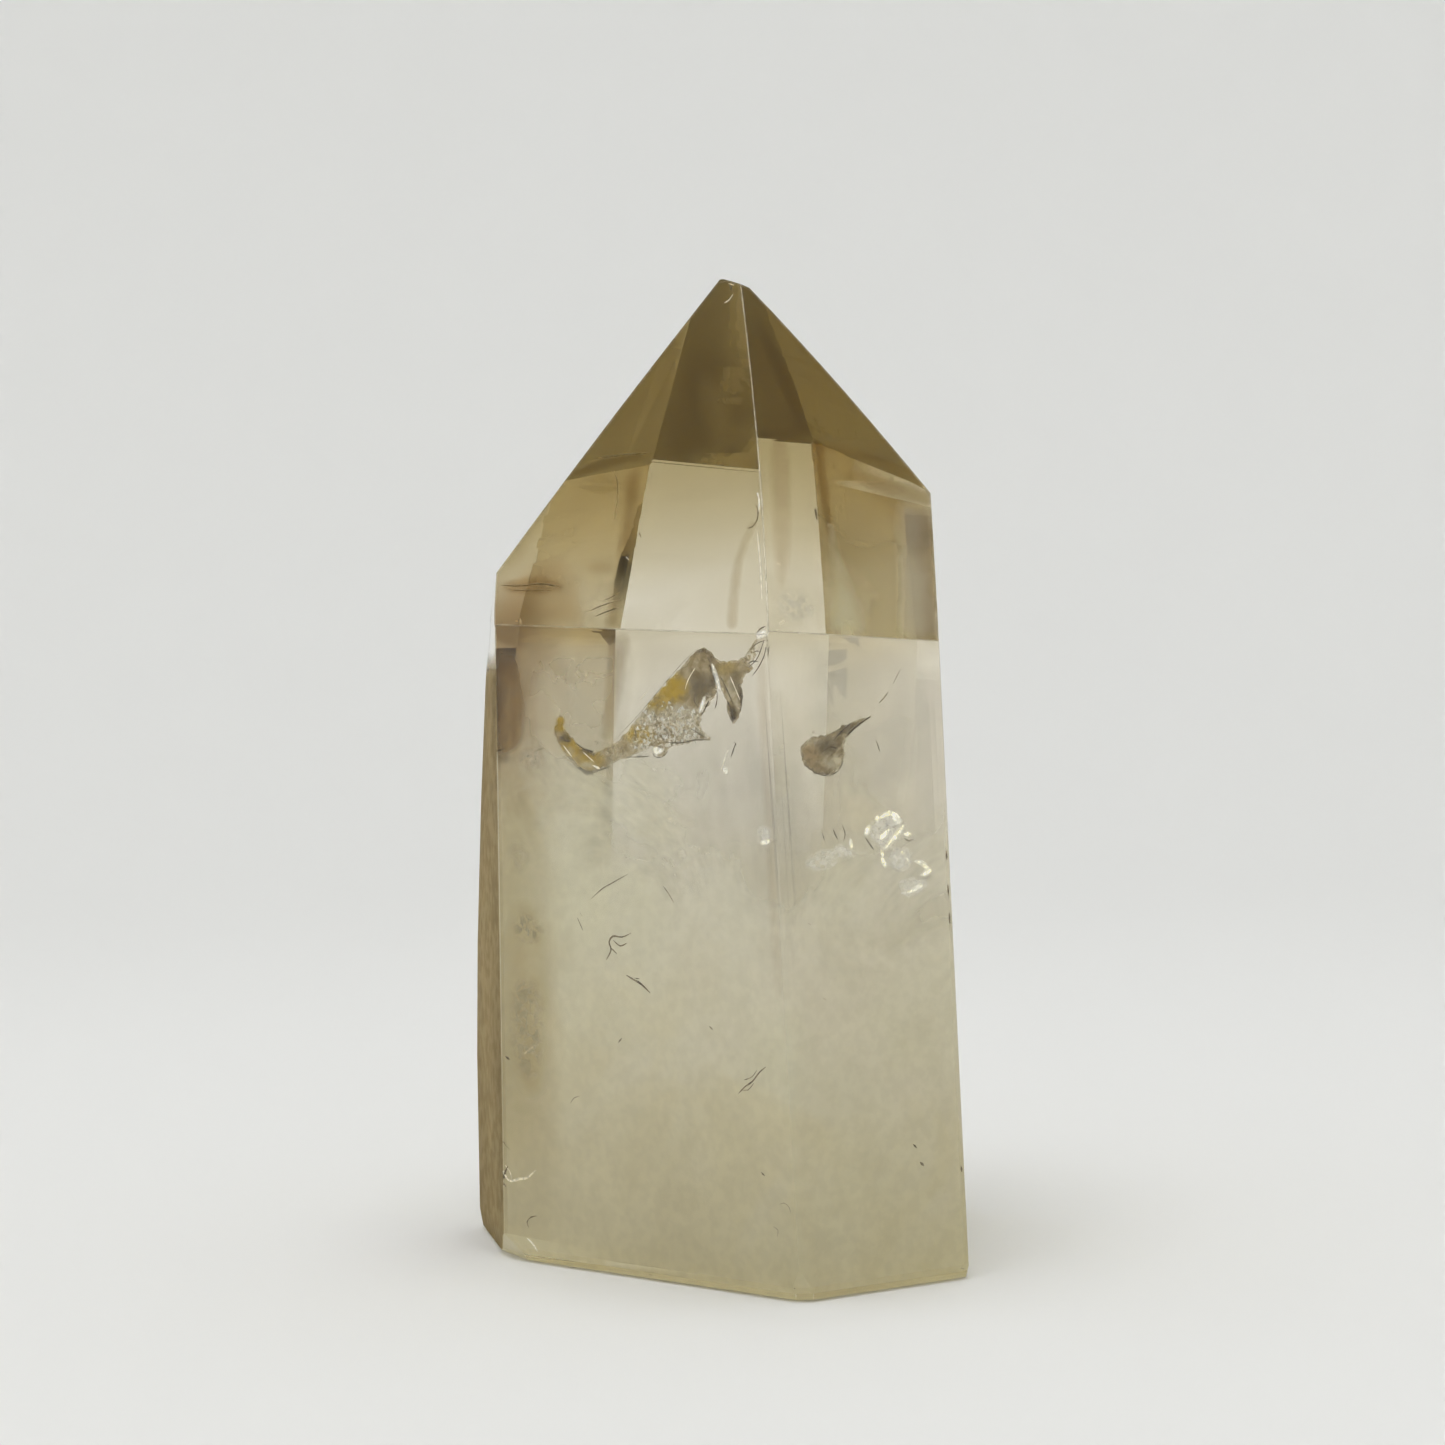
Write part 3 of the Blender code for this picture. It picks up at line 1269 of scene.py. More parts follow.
@dataclass(frozen=True)
class Scatter:
    """Geometry nodes that strew small flat grains over a host mesh."""

    name: str
    density: float  # grains for each square metre of the host
    smallest: float
    largest: float
    seed: int
    flatness: float = 0.06  # height of a grain as a share of its width
    sides: int = 3

    def grown_on(self, host: Mesh, material: Material) -> Mesh:
        """Strews the grains over a host.

        Args:
            host: the mesh that they lie on.
            material: their finish.

        Returns:
            The grains alone, as a plain mesh.
        """
        sizes = {"Density": self.density, "Smallest": self.smallest, "Largest": self.largest}
        sizes |= {"Flatness": self.flatness, "Sides": self.sides, "Seed": self.seed}
        growth = Growth(self.name, sizes)
        graph, given = growth.graph, growth.given
        spread = {"Mesh": given["Geometry"], "Density": given["Density"], "Seed": given["Seed"]}
        grain = {"Vertices": given["Sides"], "Radius": 0.5, "Depth": given["Flatness"]}
        size = {2: given["Smallest"], 3: given["Largest"], "Seed": given["Seed"]}
        turn = {0: (0, 0, 0), 1: (tau, tau, tau), "Seed": given["Seed"]}
        strewn = {
            "Points": graph.add("GeometryNodeDistributePointsOnFaces", spread),
            "Instance": graph.add("GeometryNodeMeshCylinder", grain),
            "Rotation": graph.add("FunctionNodeRandomValue", turn, data_type="FLOAT_VECTOR"),
            "Scale": graph.add("FunctionNodeRandomValue", size, data_type="FLOAT").outputs[1],
        }
        return growth.of(host, graph.add("GeometryNodeInstanceOnPoints", strewn), material)


# ------------------------------------------------------------------------------ the stone itself


@dataclass
class Stone:
    """The polished stone: a clear body whose edges are a little rounded and worn."""

    node: str
    finish: SmokyQuartz = SmokyQuartz()
    edge_round: float = 0.15 * MM
    edge_angle: float = radians(12)
    smooth_angle: float = radians(6)
    merge: float = 0.002 * MM
    crust_room: float = 0.08 * MM  # how far the crusted left side is set back
    crusted_facing: float = -0.80  # X of the normals of the crusted faces
    crust_top: float = 54 * MM

    def shape(self) -> bmesh.types.BMesh:
        """A merged copy of the CAD stone, with its faces pointing out.

        Returns:
            The copy, with room left for the crust.
        """
        source = frame["nodes"][self.node]
        shape = bmesh.new()
        shape.from_mesh(source.data)
        bmesh.ops.transform(shape, matrix=source.matrix_world, verts=shape.verts)
        bmesh.ops.remove_doubles(shape, verts=shape.verts, dist=self.merge)
        bmesh.ops.recalc_face_normals(shape, faces=shape.faces)
        left = [face for face in shape.faces if face.normal.x < self.crusted_facing]
        low = [face for face in left if face.calc_center_median().z < self.crust_top]
        for vert in {vert for face in low for vert in face.verts}:
            vert.co.x += self.crust_room
        return shape

    def skin(self, sight: Sight) -> Skin:
        """The stone's skin, for placing what lies behind it.

        Args:
            sight: the camera that looks through it.

        Returns:
            The skin.
        """
        shape = self.shape()
        tree = BVHTree.FromBMesh(shape)
        shape.free()
        return Skin(sight, tree)

    def build(self) -> None:
        """Makes the stone, and puts it in the CAD node's place."""
        mesh = finished("crystal", self.shape())
        mesh.shade_smooth()
        mesh.set_sharp_from_angle(angle=self.smooth_angle)
        stone = place_piece("crystal", mesh, self.finish.material(), Slot.QUARTZ)
        rounding = stone.modifiers.new("worn_edges", "BEVEL")
        rounding.width = self.edge_round
        rounding.segments = 2
        rounding.limit_method = "ANGLE"
        rounding.angle_limit = self.edge_angle
        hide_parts(self.node)


@dataclass(frozen=True)
class Body:
    """A clear body inside the stone: a part of the stone's shape, drawn in from its skin."""

    finish: Finish
    gap: float
    cut: float  # the height at which it is cut off, on the axis
    tilt: float  # how far the cut slopes down to the back, in degrees
    roll: float = 0.0  # how far it slopes down to the right
    upper: bool = False  # whether the part above the cut is kept, not the part below
    half_width: float = 22 * MM
    half_depth: float = 25 * MM
    tip_from: float = 83 * MM  # the tip above this is drawn down

    def build(self, stone: Stone, slot: Slot) -> None:
        """Makes the body.

        Args:
            stone: the stone that it lies in.
            slot: the piece's material slot.
        """
        shape = stone.shape()
        slope = Matrix.Rotation(-radians(self.tilt), 3, "X") @ Matrix.Rotation(radians(self.roll), 3, "Y")
        up = slope @ Vector((0, 0, 1))
        bmesh.ops.bisect_plane(
            shape,
            geom=shape.verts[:] + shape.edges[:] + shape.faces[:],
            plane_co=(0, 0, self.cut),
            plane_no=-up if self.upper else up,
            clear_outer=True,
        )
        bmesh.ops.holes_fill(shape, edges=[edge for edge in shape.edges if edge.is_boundary])
        for vert in shape.verts:
            vert.co.x *= 1 - self.gap / self.half_width
            vert.co.y *= 1 - self.gap / self.half_depth
            if vert.co.z > self.tip_from:
                vert.co.z -= self.gap
            elif vert.co.z < self.gap:
                vert.co.z += self.gap
        bmesh.ops.triangulate(shape, faces=shape.faces)
        bmesh.ops.recalc_face_normals(shape, faces=shape.faces)
        name = self.finish.name
        place_piece(name, finished(name, shape), self.finish.material(), slot)


@dataclass
class Clouding:
    """The milk in the lower half of the stone, under its veil, and the smoke in the tip."""

    stone: Stone
    milk: tuple[Body, ...] = (
        Body(Veil(), 0.5 * MM, 50.5 * MM, -5, 3),
        Body(Milk("milk_upper", 15.0), 0.9 * MM, 38.5 * MM, 20, 14),
        Body(Milk("milk_middle", 26.0), 1.3 * MM, 31.0 * MM, 26, 12),
        Body(Milk("milk_low", 55.0), 1.7 * MM, 18.0 * MM, -22, 6),
    )
    smoke: tuple[Body, ...] = (
        Body(TipSmoke("tip_smoke", 21.5), 0.4 * MM, 61.5 * MM, 30, upper=True),
        Body(TipSmoke("tip_smoke_core", 37.0), 0.6 * MM, 65.0 * MM, -28, upper=True),
    )

    def build(self) -> None:
        """Makes the milk and the smoke."""
        for body in self.milk:
            body.build(self.stone, Slot.MILK)
        for body in self.smoke:
            body.build(self.stone, Slot.QUARTZ)


@dataclass(frozen=True)
class Facing:
    """A choice of the stone's faces, by where they look and how high they lie."""

    least_x: float = -1.0
    most_x: float = 1.0
    most_y: float = 1.0
    least_z: float = -1.0
    lowest: float = 0.0
    highest: float = 1.0

    def takes(self, face: bmesh.types.BMFace) -> bool:
        """Whether a face is one of them.

        Args:
            face: the face.

        Returns:
            Whether it is.
        """
        looks = face.normal
        level = face.calc_center_median().z
        good = self.least_x <= looks.x <= self.most_x and looks.y <= self.most_y and looks.z >= self.least_z
        return good and self.lowest <= level <= self.highest


@dataclass(frozen=True)
class FaceSheet:
    """A thin sheet just inside or outside some of the stone's faces."""

    finish: Finish
    choice: Facing
    gap: float  # how far it is drawn in
    thickness: float = 0.04 * MM

    def build(self, stone: Stone, slot: Slot, mirrored: bool = False) -> None:
        """Makes the sheet.

        Args:
            stone: the stone whose faces it follows.
            slot: the piece's material slot.
            mirrored: whether the stone's faces mirror it from inside, and it shades the milk.
        """
        shape = stone.shape()
        others = [face for face in shape.faces if not self.choice.takes(face)]
        bmesh.ops.delete(shape, geom=others, context="FACES")
        shape.normal_update()
        for vert in shape.verts:
            vert.co -= vert.normal * self.gap
            vert.co.z = max(vert.co.z, self.thickness)
        shape.verts.index_update()
        places = [vert.co.copy() for vert in shape.verts]
        faces = [tuple(vert.index for vert in face.verts) for face in shape.faces]
        shape.free()
        name = self.finish.name
        mesh = thin_body(name, places, faces, self.thickness, {})
        place_piece(name, mesh, self.finish.material(), slot, mirrored)


LEFT = Facing(most_x=-0.80, highest=54 * MM)
BESIDE_LEFT = Facing(-0.70, -0.35, most_y=-0.3, least_z=-0.3, lowest=2 * MM, highest=74 * MM)
FRONT = Facing(most_y=-0.5, least_z=-0.3, lowest=12 * MM, highest=53 * MM)


@dataclass
class Sheets:
    """The crust on the natural left side, the brown film beside it, and the wisps above the milk."""

    stone: Stone
    crust: FaceSheet = FaceSheet(Crust(), LEFT, -0.05 * MM, 0.03 * MM)
    film: FaceSheet = FaceSheet(BrownMargin(), BESIDE_LEFT, 0.18 * MM, 0.02 * MM)
    near_wisps: FaceSheet = FaceSheet(Wisps("wisps_near", 0.0, 0.20), FRONT, 1.9 * MM)
    far_wisps: FaceSheet = FaceSheet(Wisps("wisps_far", 1.9, 0.22, 300.0, 90.0, -0.12), FRONT, 3.4 * MM)

    def build(self) -> None:
        """Makes the sheets."""
        self.crust.build(self.stone, Slot.RUST, mirrored=True)
        self.film.build(self.stone, Slot.RUST)
        for wisps in (self.near_wisps, self.far_wisps):
            wisps.build(self.stone, Slot.MILK)


@dataclass
class EdgeWearAndSheen:
    """Fine wear and painted highlight on the front edges: a thin broken line of tiny bruises just under each.
    """

    stone: Stone
    sharpest: float = radians(18)
    lowest: float = 3.0 * MM
    facing: float = -0.30  # Y of the normal of a face that looks to the front
    drawn_in: float = 0.16 * MM
    radius: float = 0.05 * MM
    uneven: Span = (0.35, 1.5)  # the least and the most of that radius
    step: float = 0.9 * MM
    sides: int = 6
    seed: int = 51

    def lines(self) -> Mesh:
        """The stone's sharp edges alone, a little inside it.

        Returns:
            The edges, as a mesh with no faces.
        """
        shape = self.stone.shape()
        for vert in shape.verts:
            vert.co -= vert.normal * self.drawn_in
        gone = [
            edge
            for edge in shape.edges
            if edge.calc_face_angle(0) < self.sharpest
            or min(edge.verts[0].co.z, edge.verts[1].co.z) < self.lowest
            or min(side.normal.y for side in edge.link_faces) > self.facing
        ]
        bmesh.ops.delete(shape, geom=shape.faces[:], context="FACES_ONLY")
        bmesh.ops.delete(shape, geom=gone, context="EDGES")
        return finished("edge_lines", shape)

    def build(self) -> None:
        """Makes the wear and painted highlight: geometry nodes turn the lines to uneven threads."""
        sizes = {"Radius": self.radius, "Step": self.step, "Sides": self.sides, "Seed": self.seed}
        growth = Growth("edge_wear", sizes)
        graph, given = growth.graph, growth.given
        lines = graph.add("GeometryNodeMeshToCurve", {"Mesh": given["Geometry"]})
        lines = {"Curve": lines, "Length": given["Step"]}
        even = graph.add("GeometryNodeResampleCurve", lines, mode="LENGTH")
        size = {2: self.uneven[0], 3: self.uneven[1], "Seed": given["Seed"]}
        size = graph.add("FunctionNodeRandomValue", size, data_type="FLOAT").outputs[1]
        rough = graph.add("GeometryNodeSetCurveRadius", {"Curve": even, "Radius": size})
        ring = {"Resolution": given["Sides"], "Radius": given["Radius"]}
        ring = graph.add("GeometryNodeCurvePrimitiveCircle", ring)
        thread = {"Curve": rough, "Profile Curve": ring, "Fill Caps": True}
        thread = graph.add("GeometryNodeCurveToMesh", thread)
        mesh = growth.of(self.lines(), thread, BruiseAndSheen().material())
        place_piece("edge_wear", mesh, None, Slot.FLASH, mirrored=False)


# --------------------------------------------------------------------------- what is sealed in it


@dataclass
class Sealed:
    """Things sealed in the stone, each put where the camera sees it through the skin."""

    skin: Skin

    def add_crack(self, crack: Crack, material: Material, slot: Slot) -> None:
        """Makes a crack as a piece."""
        place_piece(crack.name, crack.mesh(self.skin), material, slot, mirrored=False)

    def add_hairs(self, name: str, hairs: Iterable[Hair], finish: Finish, slot: Slot = Slot.FLECK) -> None:
        """Makes some hairlines as one piece."""
        place_piece(name, hair_mesh(name, hairs, self.skin), finish.material(), slot, mirrored=False)


@dataclass
class PaintedShadeZones(Sealed):
    """Painted shade: tints behind the roof faces and margins, for bands that the faces bend and mirror."""

    seed: int = 60  # of the first zone; each one after it has the next
    # Each zone's name, tint, depth in millimetres, soft border in pixels and outline
    zones: tuple[tuple[str, Colour, float, float, Outline], ...] = (
        ("zone_roof_left", (0.8, 0.745, 0.65), 0.5, 9, ((634, 467), (643, 469), (640, 510), (634, 555),
         (625, 596), (620, 628), (604, 628), (605, 606), (611, 578), (616, 545), (620, 505), (624, 476))),
        ("zone_wedge", (0.74, 0.66, 0.5), 5.0, 6, ((811, 440), (824, 443), (828, 470), (832, 500),
         (834, 530), (830, 548), (825, 530), (818, 500), (814, 470))),
        ("zone_streak", (1.0, 0.995, 0.93), 0.7, 4, ((828, 520), (834, 530), (842, 560), (854, 590),
         (862, 628), (832, 628), (832, 590), (830, 555))),
        ("zone_roof_right", (0.945, 0.925, 0.89), 0.4, 6, ((848, 466), (880, 474), (918, 488), (932, 500),
         (936, 560), (938, 634), (922, 634), (921, 580), (913, 553), (885, 515))),
        ("zone_margin_right", (0.95, 0.93, 0.9), 0.35, 14, ((912, 520), (934, 512), (937, 560), (940, 640),
         (922, 640), (918, 585))),
        ("zone_strip", (0.925, 0.9, 0.87), 0.6, 8, ((769, 441), (790, 441), (793, 500), (792, 555),
         (784, 590), (774, 575), (770, 520))),
        ("zone_front", (0.9, 0.875, 0.835), 0.4, 5, ((757, 516), (756, 528), (745, 560), (740, 600),
         (738, 627), (726, 627), (728, 595), (733, 560), (746, 528))),
        ("zone_below", (0.875, 0.85, 0.81), 0.5, 7, ((608, 634), (630, 634), (629, 660), (623, 695),
         (613, 737), (600, 737), (602, 700), (606, 662))),
        ("zone_block", (0.985, 0.93, 0.8), 0.35, 8, ((490, 662), (505, 658), (519, 664), (525, 690),
         (524, 735), (516, 752), (500, 755), (487, 752))),
        ("zone_smudge", (0.84, 0.78, 0.68), 0.4, 5, ((498, 586), (515, 578), (540, 574), (562, 581),
         (563, 592), (540, 597), (512, 595))),
        ("zone_smudge_small", (0.94, 0.91, 0.87), 0.5, 4, ((584, 566), (600, 561), (614, 564), (612, 572),
         (596, 574))),
        ("zone_brown", (0.93, 0.885, 0.82), 0.4, 16, ((497, 590), (530, 560), (566, 556), (585, 590),
         (582, 628), (530, 628), (497, 627))),
        ("zone_cap_line", (0.82, 0.77, 0.65), 0.6, 8, ((758, 318), (768, 330), (784, 358), (797, 388),
         (806, 415), (810, 436), (760, 438), (758, 428), (790, 426), (783, 398), (770, 368), (759, 342))),
        ("zone_cap_foot", (0.88, 0.82, 0.71), 5.0, 7, ((812, 441), (860, 448), (900, 462), (924, 484),
         (912, 482), (875, 467), (838, 456), (814, 450))),
        ("zone_cap_foot_left", (0.86, 0.81, 0.7), 0.5, 5, ((568, 480), (590, 462), (640, 452), (650, 458),
         (610, 469))),
        ("zone_shoulder", (0.94, 0.91, 0.84), 0.4, 5, ((846, 468), (880, 476), (934, 493), (935, 508),
         (880, 492), (848, 481))),
        ("zone_cap", (0.93, 0.91, 0.87), 0.6, 14, ((712, 350), (748, 354), (752, 400), (757, 464),
         (700, 464), (650, 459), (660, 424), (680, 376), (696, 350))),
        ("zone_upper_middle", (0.965, 0.963, 0.965), 2.4, 20, ((640, 638), (700, 638), (758, 640),
         (768, 720), (768, 800), (700, 806), (640, 800), (632, 720))),
        ("zone_edge_band", (0.945, 0.925, 0.9), 0.35, 7, ((754, 640), (768, 640), (773, 760), (779, 880),
         (784, 985), (773, 990), (766, 880), (759, 760))),
        ("zone_foot_left", (0.965, 0.945, 0.9), 0.3, 18, ((508, 910), (545, 905), (552, 960), (550, 1080),
         (520, 1095), (506, 1040))),
    )

    def build(self) -> None:
        """Makes the zones."""
        # each zone is painted shade for a view that the faces bend or mirror
        for seed, (name, tint, depth, border, outline) in enumerate(self.zones, self.seed):
            sizes = {"step": 4.0, "crumple": 0.0, "thickness": 0.02 * MM, "fade": border, "rim": 0.0}
            zone = Crack.level(name, outline, depth, seed=seed, **sizes)
            self.add_crack(zone, Shade(name, tint).material(), Slot.QUARTZ)


@dataclass
class MainFracture(Sealed):
    """The large healed crack below the shoulder: a golden hook, a brown band and a druse with painted
    sparkle.
    """

    # The hook and the band in one, and the lobe
    cracks: tuple[Crack, ...] = (
        HealedCrack(
            name="fracture_band",
            outline=(
                (566, 719), (560, 716), (555, 722), (554, 732), (558, 744), (565, 753), (573, 762),
                (580, 769), (587, 775), (595, 772), (606, 767), (618, 761), (630, 757), (641, 752),
                (652, 746), (656, 755), (664, 756), (670, 748), (682, 745), (697, 741), (711, 740),
                (705, 733), (700, 726), (703, 714), (710, 703), (716, 694), (716, 680), (716, 668),
                (713, 655), (706, 648), (699, 649), (690, 657), (678, 671), (665, 685), (652, 700),
                (640, 715), (628, 730), (616, 742), (605, 748), (593, 752), (582, 748), (573, 739),
                (565, 729), (564, 723),
            ),
            depths=(
                (556, 722, 1.1), (588, 774, 1.6), (620, 745, 1.5), (650, 750, 1.7), (705, 650, 1.2),
                (705, 740, 1.9), (680, 672, 1.3),
            ),
            dabs=(
                Dab(Tone.OCHRE, 561, 724, 9, 9), Dab(Tone.OCHRE, 574, 745, 14, 14),
                Dab(Tone.OCHRE, 590, 760, 16, 11, 0.9), Dab(Tone.OCHRE, 668, 688, 22, 17),
                Dab(Tone.OCHRE, 640, 735, 16, 10, 0.7), Dab(Tone.OCHRE, 655, 705, 14, 9, 0.6),
                Dab(Tone.PITCH, 566, 738, 6, 3, 0.7), Dab(Tone.PITCH, 588, 752, 9, 2.5, 0.7),
                Dab(Tone.PITCH, 587, 773, 7, 4, 0.9), Dab(Tone.PITCH, 701, 687, 13, 17, 0.42),
                Dab(Tone.PITCH, 703, 651, 8, 2.5, 0.6), Dab(Tone.PITCH, 713, 681, 4, 9, 0.6),
                Dab(Tone.PALE, 570, 752, 6, 5, 0.6), Dab(Tone.PALE, 588, 765, 9, 3, 0.7),
                Dab(Tone.PALE, 650, 716, 16, 9, 0.8), Dab(Tone.PALE, 680, 716, 22, 12, 0.9),
                Dab(Tone.PALE, 640, 748, 14, 5, 0.8), Dab(Tone.PALE, 690, 735, 18, 9, 0.7),
                Dab(Tone.BARE, 668, 735, 44, 24, 0.9), Dab(Tone.BARE, 708, 715, 12, 22, 0.9),
                Dab(Tone.BARE, 612, 752, 16, 8, 0.5),
            ),
            ragged=1.0,
            seed=3,
        ),
        HealedCrack(
            name="fracture_lobe",
            outline=(
                (706, 650), (713, 656), (719, 661), (730, 661), (739, 660), (747, 652), (752, 644),
                (758, 640), (754, 650), (756, 655), (750, 664), (754, 668), (746, 674), (742, 684),
                (743, 697), (741, 708), (738, 719), (733, 724), (729, 716), (727, 706), (724, 695),
                (720, 688), (716, 690), (712, 676), (708, 662),
            ),
            depths=(
                (706, 650, 1.3), (725, 665, 1.2), (745, 655, 1.0), (758, 640, 0.6), (735, 722, 1.2),
                (720, 690, 1.4),
            ),
            dabs=(
                Dab(Tone.PITCH, 735, 680, 6, 12, 0.35), Dab(Tone.PITCH, 733, 714, 5, 10, 0.7),
                Dab(Tone.PITCH, 741, 695, 3, 12, 0.6), Dab(Tone.OCHRE, 726, 668, 12, 8, 0.35),
                Dab(Tone.PALE, 731, 688, 4, 14, 0.6), Dab(Tone.PALE, 737, 705, 3.5, 12, 0.6),
                Dab(Tone.BARE, 752, 652, 12, 16, 0.8),
            ),
            crumple=0.25 * MM,
            ragged=0.9,
            seed=5,
        ),
    )
    # Each pale open sliver's name, depth and crumple in millimetres, soft border and outline; its flash is
    # painted
    streaks: tuple[tuple[str, float, float, float, Outline], ...] = (
        ("streak_peak", 0.9, 0.05, 1.0, ((711, 664), (714, 665), (718, 675), (721, 690), (718, 690),
         (714, 677))),
        ("streak_lobe", 0.9, 0.05, 1.0, ((703, 697), (706, 697), (704, 706), (700, 713), (699, 709))),
        ("streak_ladder", 0.5, 0.05, 1.5, ((757, 632), (764, 630), (768, 634), (762, 638), (757, 638))),
        ("streak_druse", 1.0, 0.05, 1.5, ((652, 748), (658, 747), (664, 750), (660, 754), (654, 754))),
        ("streak_drop", 0.9, 0.02, 1.0, ((724, 766), (727, 767), (728, 773), (725, 774), (723, 770))),
    )
    streak_seed: int = 11  # of the first streak
    # The sheet that the druse grows on
    druse_bed: Crack = Crack(
        name="druse_bed",
        outline=(
            (642, 712), (655, 703), (672, 702), (690, 706), (700, 716), (698, 728), (708, 738),
            (690, 743), (668, 746), (655, 752), (640, 750), (632, 744), (636, 726),
        ),
        depths=((642, 712, 1.1), (700, 716, 1.3), (668, 746, 1.3)),
        step=5.0,
        seed=17,
    )
    # The dark hairlines on the crack and beside it
    hairs: tuple[Hair, ...] = (
        Hair(((746, 655), (752, 648), (758, 643), (766, 640)), 0.1, 0.6),
        Hair(((757, 634), (760, 629), (766, 626)), 0.18, 0.5),
        Hair(((752, 653), (757, 651), (761, 652)), 0.12, 0.6),
        Hair(((766, 646), (764, 656), (758, 668), (752, 676)), 0.12, 0.6),
        Hair(((748, 664), (753, 661), (759, 662)), 0.14, 0.6),
        Hair(((764, 640), (760, 652), (756, 660), (748, 668)), 0.12, 0.6),
        Hair(((736, 743), (734, 748), (731, 757)), 0.16, 0.8), Hair(((734, 741), (737, 746)), 0.12, 0.8),
        Hair(((709, 700), (706, 707), (701, 716)), 0.16, 0.9),
        Hair(((717, 690), (717, 700), (715, 709)), 0.14, 0.9),
        Hair(((712, 672), (716, 682), (720, 690)), 0.16, 1.0),
        Hair(((697, 690), (694, 700), (699, 708)), 0.12, 1.0),
        Hair(((625, 757), (638, 757), (650, 756)), 0.14, 1.0),
        Hair(((612, 743), (640, 713), (665, 683), (690, 655), (703, 648)), 0.06, 0.9),
        Hair(((566, 754), (578, 768), (588, 775)), 0.1, 0.9),
        Hair(((576, 743), (584, 749), (594, 752)), 0.2, 0.9),
        Hair(((560, 736), (565, 741), (571, 741)), 0.18, 0.8),
        Hair(((578, 766), (585, 772), (590, 774)), 0.24, 0.8),
        Hair(((590, 774), (600, 770), (612, 766)), 0.14, 0.9),
        Hair(((664, 742), (680, 743), (695, 740), (711, 740)), 0.14, 1.0),
        Hair(((690, 728), (698, 733), (708, 739)), 0.12, 0.9),
        Hair(((653, 748), (654, 756), (662, 757), (669, 750)), 0.12, 1.0),
        Hair(((634, 726), (636, 735), (633, 742)), 0.12, 1.0),
        Hair(((727, 700), (732, 712), (733, 722)), 0.18, 1.0),
        Hair(((720, 676), (727, 690), (733, 704)), 0.14, 0.9),
        Hair(((740, 688), (742, 700), (740, 712)), 0.12, 0.9),
    )

    def build(self) -> None:
        """Makes the crack, its streaks, its druse and the hairlines beside it."""
        stain = RustStain().material()
        for crack in self.cracks:
            self.add_crack(crack, stain, Slot.RUST)
        flash = Flash().material()
        for seed, (name, depth, crumple, border, outline) in enumerate(self.streaks, self.streak_seed):
            sizes = {"step": 2.0, "crumple": crumple * MM, "fade": border}
            self.add_crack(Crack.level(name, outline, depth, seed=seed, **sizes), flash, Slot.FLASH)
        bed = self.druse_bed.mesh(self.skin)
        # the light grains' sparkle is painted: a pale colour with a glow
        sizes = {"glow": 0.12, "least": 0.6, "cover": 1.0, "marked": False}
        light = Flash("druse_light", (0.86, 0.85, 0.78), (1.0, 1.0, 0.96), **sizes)
        dark = Fleck("druse_dark", (0.16, 0.14, 0.10), (0.42, 0.39, 0.30))
        for finish, density, smallest, largest, seed, slot in (
            (light, 2.4e6, 0.06 * MM, 0.55 * MM, 21, Slot.FLASH),
            (dark, 5.0e6, 0.04 * MM, 0.32 * MM, 22, Slot.FLECK),
        ):
            grains = Scatter(finish.name, density, smallest, largest, seed)
            mesh = grains.grown_on(bed, finish.material())
            place_piece(finish.name, mesh, None, slot, mirrored=False)
        self.add_hairs("fracture_hairs", self.hairs, Fleck())


@dataclass
class SecondFracture(Sealed):
    """The small dark crack behind the right front face, with its long tail."""

    ochre: Colour = (0.66, 0.52, 0.33)
    umber: Colour = (0.54, 0.47, 0.33)
    brown: Colour = (0.86, 0.81, 0.68)
    crack: Crack = HealedCrack(
        name="second_fracture",
        outline=(
            (801, 752), (803, 744), (809, 739), (818, 736), (828, 734), (836, 730), (842, 726), (850, 723),
            (859, 719), (872, 716), (862, 723), (853, 730), (846, 739), (844, 748), (845, 757), (841, 766),
            (835, 773), (826, 776), (815, 773), (807, 768), (802, 760),
        ),
        depths=(
            (803, 752, 1.2), (871, 716, 1.0), (830, 775, 1.5),
        ),
        dabs=(
            Dab(Tone.PITCH, 827, 746, 11, 9, 0.35), Dab(Tone.PITCH, 848, 728, 16, 6, 0.35),
            Dab(Tone.PITCH, 824, 775, 18, 2.5, 0.5), Dab(Tone.PALE, 834, 763, 9, 9, 0.8),
            Dab(Tone.PALE, 812, 741, 7, 4, 0.6), Dab(Tone.OCHRE, 811, 755, 11, 13, 0.4),
            Dab(Tone.OCHRE, 818, 768, 10, 6, 0.3),
        ),
        ragged=1.2,
        seed=8,
    )
    # The dark hairlines on it, and its tail
    hairs: tuple[Hair, ...] = (
        Hair(((806, 766), (818, 774), (829, 776)), 0.12, 0.9),
        Hair(((845, 738), (856, 727), (871, 716)), 0.2, 0.8),
        Hair(((834, 740), (842, 731), (852, 722)), 0.14, 0.8),
        Hair(((829, 776), (838, 771), (844, 760)), 0.1, 0.9),
        Hair(((822, 752), (830, 747), (838, 749)), 0.2, 0.9),
    )

    def build(self) -> None:
        """Makes the dark crack and its tail."""
        stain = RustStain("dark_stain", self.ochre, self.umber, self.brown)
        self.add_crack(self.crack, stain.material(), Slot.RUST)
        self.add_hairs("second_hairs", self.hairs, Fleck())


